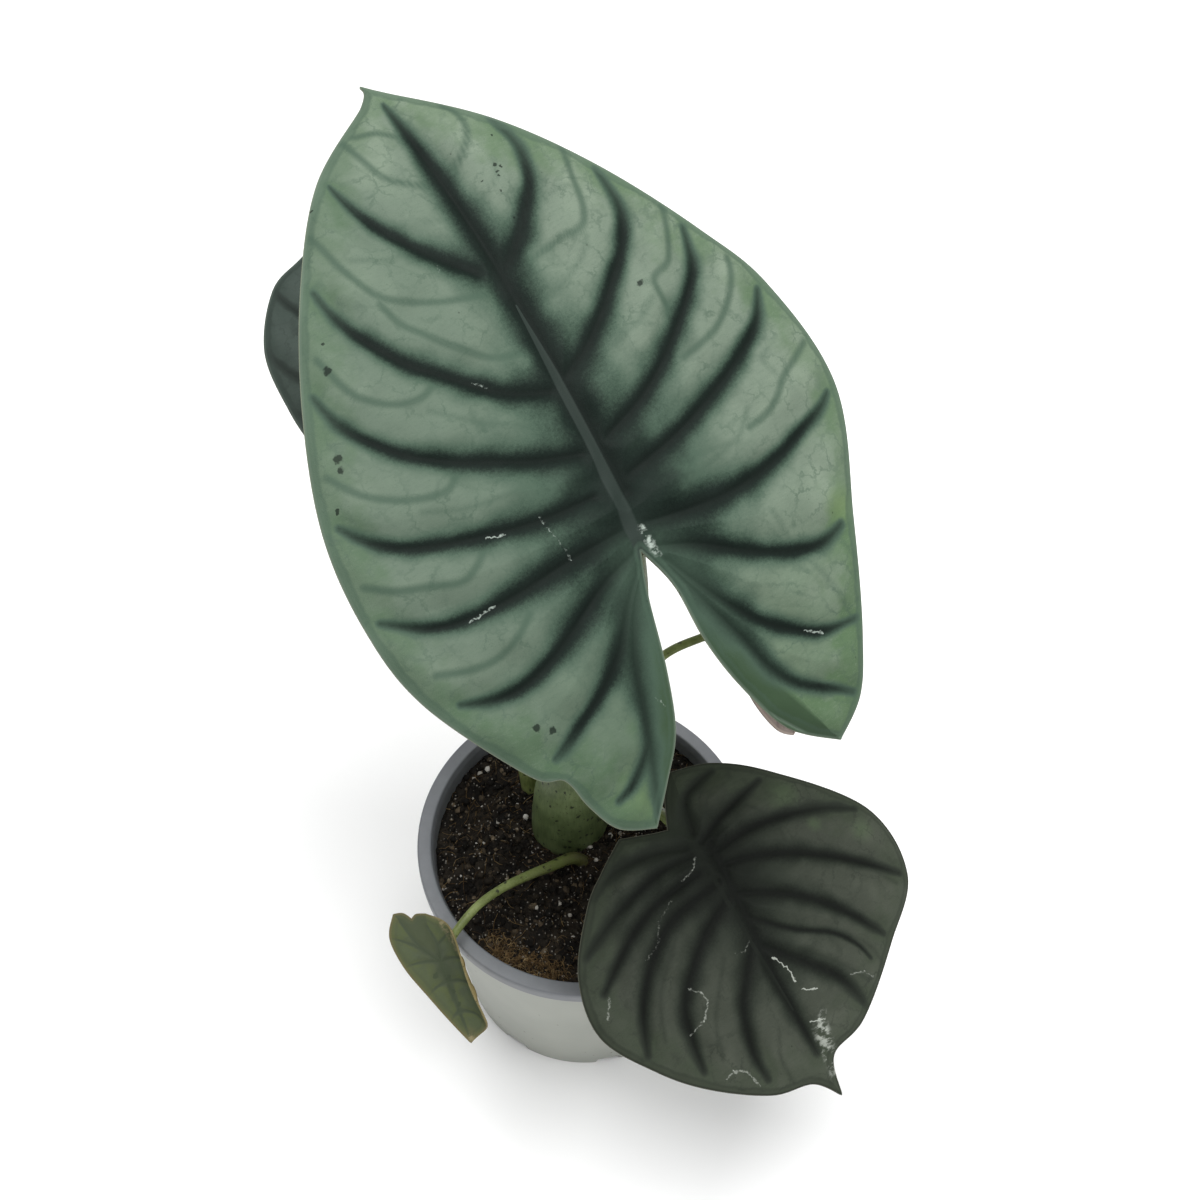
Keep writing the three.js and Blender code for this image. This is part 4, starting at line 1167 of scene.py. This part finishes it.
# %% [markdown]
# ## The potting mix
# The mix is dark peat with coir fibres, bark crumbs and white perlite. One rough surface carries its lumps,
# and loose crumbs, grains and fibres are laid on it as real meshes, because an export keeps meshes and drops
# particles.

# %% The surface of the mix
POT_BORE = 55.0
SOIL_MOUND = 2.5
SOIL_RELIEF = 1.3
SOIL_BASE = 91.0
SOIL_BOTTOM = 20.0
SOIL_FOOT = 49.5
SOIL_RINGS = 190
SOIL_STEPS = 420
rng = np.random.default_rng(23)


def soil_height(x, y):
    """The level of the mix: a low mound, broad lumps made of sines that fade at the wall, and fine random
    waves."""
    reach = np.hypot(x, y) / POT_BORE
    lumps = np.sin(x / 3.1 + 1.7 * np.sin(y / 5.3)) * np.cos(y / 2.7 + 1.3 * np.sin(x / 4.1))
    lumps += 0.7 * np.sin(x / 6.7 - y / 4.9) + 0.5 * np.cos(x / 9.3 + y / 7.1)
    height = SOIL_BASE + SOIL_MOUND * (1 - reach ** 2) + SOIL_RELIEF * lumps * (1 - reach ** 6)
    return height + 0.45 * waves(x, y, 3.2, 2) + 0.3 * np.abs(waves(x, y, 1.6, 3))


radius = np.linspace(0, POT_BORE - 0.4, SOIL_RINGS)[:, None]
turn = full_turn(SOIL_STEPS)
x, y = radius * np.cos(turn), radius * np.sin(turn)
top = np.stack([x, y, soil_height(x, y)], -1)
top[0] = (0, 0, soil_height(np.array(0.0), np.array(0.0)))
side = np.stack([SOIL_FOOT * np.cos(turn), SOIL_FOOT * np.sin(turn), np.full_like(turn, SOIL_BOTTOM)], -1)
foot = np.zeros_like(side) + (0, 0, SOIL_BOTTOM)
soil_grid = np.concatenate([top, side[None], foot[None]])


def mix_finish(name, tones, shine=0.75, grit=0.0):
    """Crumbly matter whose tone changes from crumb to crumb: the mark tone picks from dark to pale. Grit is
    the share of small cells that hold a pale speck."""
    sheet = Sheet(name)
    place = sheet.place()
    tone = sheet.mark("tone")
    coarse = sheet.noise(place, 260.0, 3.0, 0.6)
    fine = sheet.noise(place, 1500.0, 3.0, 0.7)
    pick = tone + coarse * 0.5 + fine * 0.5
    shade = sheet.mix(sheet.smooth(pick, 0.15, 0.55), tones[0], tones[1])
    shade = sheet.mix(sheet.smooth(pick, 0.55, 0.85), shade, tones[2])
    shade = sheet.mix(sheet.smooth(pick, 0.85, 1.1), shade, tones[3])
    shade = sheet.mix(sheet.spots(place, 900.0, 0.00042, grit) * 0.8, shade, "8f8b83")
    return sheet.finish(shade, shine + coarse * 0.3, fine * 0.6 + coarse * 0.6, 0.6 * MM, 0.14)


soil_tone = 0.32 + 0.12 * waves(soil_grid[..., 0], soil_grid[..., 1], 14, 8)
soil = grid_piece("potting_mix", [soil_grid], {"tone": [soil_tone]}, "potting_mix", ["soil"])
peat = mix_finish("peat", ("100e0b", "28231c", "574c3d", "a0957f"), 0.75, 0.2)
soil.data.materials.append(peat)


# %% Loose crumbs and grains
def lump(jitter, seed):
    """A small round stone: an octahedron whose edges are halved once, pushed out to a sphere, then shaken."""
    corners = np.array([(1, 0, 0), (-1, 0, 0), (0, 1, 0), (0, -1, 0), (0, 0, 1), (0, 0, -1)], float)
    faces = [(0, 2, 4), (2, 1, 4), (1, 3, 4), (3, 0, 4), (2, 0, 5), (1, 2, 5), (3, 1, 5), (0, 3, 5)]
    points = list(corners)
    middle = {}
    small = []
    for face in faces:
        halves = []
        for a, b in zip(face, face[1:] + face[:1]):
            key = (min(a, b), max(a, b))
            if key not in middle:
                middle[key] = len(points)
                points.append(corners[a] + corners[b])
            halves.append(middle[key])
        a, b, c = face
        ab, bc, ca = halves
        small += [(a, ab, ca), (b, bc, ab), (c, ca, bc), (ab, bc, ca)]
    points = np.array(points)
    points /= np.linalg.norm(points, axis=1, keepdims=True)
    draw = np.random.default_rng(seed)
    return points * draw.uniform(1 - jitter, 1 + jitter, (len(points), 1)), np.array(small)


def turns(count, draw):
    """Random turns as matrices, from random quaternions of length one."""
    quaternion = draw.normal(size=(4, count))
    w, x, y, z = quaternion / np.linalg.norm(quaternion, axis=0)
    rows = [
        [1 - 2 * (y * y + z * z), 2 * (x * y - z * w), 2 * (x * z + y * w)],
        [2 * (x * y + z * w), 1 - 2 * (x * x + z * z), 2 * (y * z - x * w)],
        [2 * (x * z - y * w), 2 * (y * z + x * w), 1 - 2 * (x * x + y * y)],
    ]
    return np.array(rows).transpose(2, 0, 1)


def scatter(name, places, sizes, tones, jitter=0.22, squash=0.75, shapes=5):
    """Lumps of a few random shapes at places, each turned at random, scaled to its size, and a little
    flattened."""
    points, triangles = [], []
    start = 0
    kind = rng.integers(0, shapes, len(places))
    turned = turns(len(places), rng)
    for shape in range(shapes):
        chosen = np.flatnonzero(kind == shape)
        base, faces = lump(jitter, 40 + shape)
        stretch = rng.uniform(0.6, 1.25, (len(chosen), 1, 3))
        body = (base[None] * stretch) @ turned[chosen] * sizes[chosen, None, None]
        body[..., 2] *= squash
        points.append((body + places[chosen, None]).reshape(-1, 3))
        offsets = start + np.arange(len(chosen))[:, None, None] * len(base)
        triangles.append((faces[None] + offsets).reshape(-1, 3))
        start += len(chosen) * len(base)
    order = np.concatenate([np.flatnonzero(kind == shape) for shape in range(shapes)])
    tone = np.repeat(tones[order], len(lump(0, 0)[0]))
    return mesh_piece(name, np.concatenate(points), np.concatenate(triangles), {"tone": tone})


def on_soil(count):
    """Random places on the mix, even over its area."""
    distance = (POT_BORE - 1.5) * np.sqrt(rng.uniform(0, 1, count))
    angle = rng.uniform(0, 2 * np.pi, count)
    x, y = distance * np.cos(angle), distance * np.sin(angle)
    return np.stack([x, y, soil_height(x, y)], -1)


CRUMBS = 4200
places = on_soil(CRUMBS)
sizes = 0.35 + 1.25 * rng.power(0.45, CRUMBS)
crumbs = scatter("peat_crumbs", places, sizes, rng.beta(1.1, 2.4, CRUMBS))
crumbs.data.materials.append(peat)

# %% [markdown]
# Perlite is white and light, so it floats up and lies on top. The larger grains are where the photograph
# shows them.

# %% Perlite
PERLITE_PIXELS = [
    (480, 772), (474, 778), (487, 769), (498, 823), (484, 844), (526, 820), (610, 838), (620, 835),
    (536, 908), (570, 915), (560, 905), (545, 968), (590, 850), (596, 862), (455, 868),
]
PERLITE_SIZES = [1.5, 1.1, 1.2, 0.8, 0.8, 0.9, 1.1, 1.2, 1.2, 1.1, 0.8, 0.9, 0.9, 0.8, 0.6]
GRAINS = 210
shown = on_level(PERLITE_PIXELS, SOIL_LEVEL)
shown[:, 2] = soil_height(shown[:, 0], shown[:, 1])
places = np.concatenate([shown, on_soil(GRAINS)])
sizes = np.concatenate([PERLITE_SIZES, 0.18 + 0.5 * rng.power(0.5, GRAINS)])
perlite = scatter("perlite", places, sizes, rng.uniform(0.3, 1, len(places)), 0.3, 0.85)
perlite.data.materials.append(mix_finish("perlite", ("77736a", "9c9890", "b8b5ae", "cfcdc7"), 0.8))


# %% Fibres of coir
def fibres(name, starts, length, width, curl, lift=0.5):
    """Thin three-sided tubes that lie on the mix. Each heads somewhere and turns steadily, so its course is
    the running sum of a turning direction."""
    count = len(starts)
    steps, sides = 9, 3
    share = np.linspace(0, 1, steps)
    heading = rng.uniform(0, 2 * np.pi, (count, 1)) + rng.normal(0, curl, (count, 1)) * share
    pace = length[:, None] / steps
    x = starts[:, :1] + np.cumsum(np.cos(heading) * pace, 1)
    y = starts[:, 1:2] + np.cumsum(np.sin(heading) * pace, 1)
    inside = np.minimum(1, (POT_BORE - 1) / np.maximum(np.hypot(x, y), 1e-6))
    x, y = x * inside, y * inside
    z = soil_height(x, y) + 0.25 + lift * np.sin(np.pi * share) * rng.uniform(0, 1, (count, 1))
    line = np.stack([x, y, z], -1)
    aside = np.stack([-np.sin(heading), np.cos(heading), 0 * heading], -1)
    upward = np.broadcast_to((0, 0, 1.0), aside.shape)
    thin = width[:, None] * (1 - 0.6 * share)
    rings = []
    for turn in np.arange(sides) * 2 * np.pi / sides:
        rings.append(line + (aside * np.cos(turn) + upward * np.sin(turn)) * thin[..., None])
    points = np.stack(rings, 2)
    at = np.arange(count * steps * sides).reshape(count, steps, sides)
    a, b = at[:, :-1], np.roll(at, -1, 2)[:, :-1]
    c, d = np.roll(at, -1, 2)[:, 1:], at[:, 1:]
    walls = np.concatenate([np.stack([a, b, c], -1).reshape(-1, 3), np.stack([a, c, d], -1).reshape(-1, 3)])
    ends = np.concatenate([at[:, 0, ::-1], at[:, -1]])
    tone = np.repeat(rng.uniform(0.2, 1, count), steps * sides)
    return mesh_piece(name, points.reshape(-1, 3), np.concatenate([walls, ends]), {"tone": tone})


FIBRES = 700
starts = on_soil(FIBRES)
threads = fibres("peat_fibres", starts, rng.uniform(3, 11, FIBRES), rng.uniform(0.06, 0.17, FIBRES), 1.6)
threads.data.materials.append(mix_finish("fibre", ("231a12", "42321f", "6e5a3c", "8f7c5a")))

# %% A patch of loose coir at the front
COIR_PIXELS = [(497, 948), (508, 954), (520, 960), (532, 965), (545, 970), (556, 976), (548, 984)]
COIR = 900
centres = on_level(COIR_PIXELS, SOIL_LEVEL - 1.5)
starts = centres[rng.integers(0, len(centres), COIR)] + rng.normal(0, 2.4, (COIR, 3))
patch = fibres("coir_patch", starts, rng.uniform(1.2, 4.5, COIR), rng.uniform(0.08, 0.22, COIR), 2.5,
               1.4)
patch.data.materials.append(mix_finish("coir", ("3f3120", "5e4b32", "826b49", "a8936c")))

# %% [markdown]
# ## The pot
# The pot is thin moulded plastic: a cone with a flat rim, a short skirt under it and arches at the foot that
# let water out. It is turned on a lathe here too, as a closed outline carried round the axis. Only the arches
# break the round, and there the foot is lifted by a smooth step of the angle.

# %% The pot's outline and skin
POT_HEIGHT = 100.0
WALL_FOOT = 48.0
WALL_TOP = 55.6
WALL_THICK = 1.4
RIM_RADIUS = 60.0
ARCHES = 8
ARCH_WIDTH = 9.0
ARCH_HEIGHT = 3.4
ARCH_REACH = 9.0
ARCH_TURN = np.radians(11)
POT_STEPS = 480


def wall_radius(z):
    return WALL_FOOT + (WALL_TOP - WALL_FOOT) * z / POT_HEIGHT


def rounded(points, radius, steps=4):
    """An outline whose corners are cut back by radius and bridged by a curve that leaves and meets the
    straight sides smoothly: the corner pulls on it as a control point (a quadratic Bezier curve)."""
    points = np.asarray(points, float)
    before, after = points[:-2] - points[1:-1], points[2:] - points[1:-1]
    cut_before = np.minimum(radius, 0.45 * np.linalg.norm(before, axis=1, keepdims=True))
    cut_after = np.minimum(radius, 0.45 * np.linalg.norm(after, axis=1, keepdims=True))
    enter = points[1:-1] + before / np.linalg.norm(before, axis=1, keepdims=True) * cut_before
    leave = points[1:-1] + after / np.linalg.norm(after, axis=1, keepdims=True) * cut_after
    t = np.linspace(0, 1, steps + 1)[None, :, None]
    bends = enter[:, None] * (1 - t) ** 2 + points[1:-1, None] * 2 * t * (1 - t) + leave[:, None] * t ** 2
    return np.concatenate([points[:1], bends.reshape(-1, 2), points[-1:]])


POT_OUTLINE = [
    (0, 0), (30, 0), (WALL_FOOT - ARCH_REACH + 2, 0), (WALL_FOOT - ARCH_REACH + 2.6, 0), (WALL_FOOT, 0),
    (wall_radius(6), 6), (wall_radius(50), 50), (wall_radius(98), 98.3), (58.5, 98.4), (58.2, 94),
    (59.8, 94), (RIM_RADIUS, 98.5), (RIM_RADIUS - 0.3, POT_HEIGHT), (POT_BORE, POT_HEIGHT),
    (POT_BORE - 0.9, 97), (wall_radius(60) - WALL_THICK, 60), (wall_radius(6) - WALL_THICK, 6), (0, 6),
]
outline = rounded(POT_OUTLINE, 0.6)
turn = full_turn(POT_STEPS)
r = outline[:, :1]
z = np.broadcast_to(outline[:, 1:], (len(outline), len(turn)))
arc = (turn - ARCH_TURN + np.pi / ARCHES) % (2 * np.pi / ARCHES) - np.pi / ARCHES
across = np.abs(arc) * WALL_FOOT
opening = np.clip((ARCH_WIDTH / 2 - across) / 0.8 + 0.5, 0, 1)
at_foot = (r > WALL_FOOT - ARCH_REACH + 2.3) & (z < ARCH_HEIGHT)
z = np.where(at_foot, z + (ARCH_HEIGHT - z) * opening, z)
pot_grid = np.stack([r * np.cos(turn), r * np.sin(turn), z], -1)
pot_grid[0], pot_grid[-1] = (0, 0, 0), (0, 0, 6)
grey = ((r > 56.2) | ((z > 50) & (r < wall_radius(z) - 0.6)) | (z > 98.3)) * np.ones_like(z)


def pot_finish():
    """Thin matt plastic: pale wall, grey rim and inside, faint turning marks, dust and specks of peat."""
    sheet = Sheet("pot_plastic")
    place = sheet.place()
    grey = sheet.mark("grey")
    cloud = sheet.noise(place, 18.0, 3.0)
    dust = sheet.noise(place, 220.0, 4.0, 0.7)
    scuff = sheet.noise(sheet.vector("MULTIPLY", place, (1.0, 1.0, 8.0)), 120.0, 4.0, 0.7)
    wall = sheet.mix(sheet.smooth(cloud, -0.3, 0.3), "9ea197", "8f928a")
    rim = sheet.mix(sheet.smooth(cloud + dust * 0.6, -0.3, 0.4), "65686c", "73767a")
    shade = sheet.mix(sheet.smooth(grey, 0.4, 0.6), wall, rim)
    shade = sheet.mix(sheet.smooth(scuff, 0.16, 0.42) * 0.2, shade, "b9bbb4")
    dirt = sheet.spots(place, 300.0, 0.0006, 0.12)
    shade = sheet.mix(dirt * 0.8, shade, "4a4038")
    return sheet.finish(shade, 0.45 + cloud * 0.2, dust * 0.4, 0.1 * MM, 0.45)


pot = grid_piece("pot_shell", [pot_grid], {"grey": [grey]}, "pot_plastic", ["pot"])
pot.data.materials.append(pot_finish())

# %% [markdown]
# ## The floor
# A plain pale sheet carries the pot. It is only a stage, and isn't part of the object.

# %% Stage
FLOOR_SIZE = 6.0
floor_mesh = bpy.data.meshes.new("floor")
corners = np.array([(-1, -1, 0), (1, -1, 0), (1, 1, 0), (-1, 1, 0)]) * FLOOR_SIZE / 2
floor_mesh.from_pydata(corners.tolist(), [], [(0, 1, 2, 3)])
floor = show("floor", floor_mesh)
floor_sheet = Sheet("floor")
floor_cloud = floor_sheet.noise(floor_sheet.place(), 2.0)
floor_tone = floor_sheet.mix(floor_cloud + 0.5, "f4f4f3", "f8f8f8")
floor_mesh.materials.append(floor_sheet.finish(floor_tone, 0.9, specular=0.1))

# %% Sizes, and the end
bpy.context.view_layer.update()
print("pieces:", len(pieces), "triangles:", sum(len(piece.data.polygons) for piece in pieces))
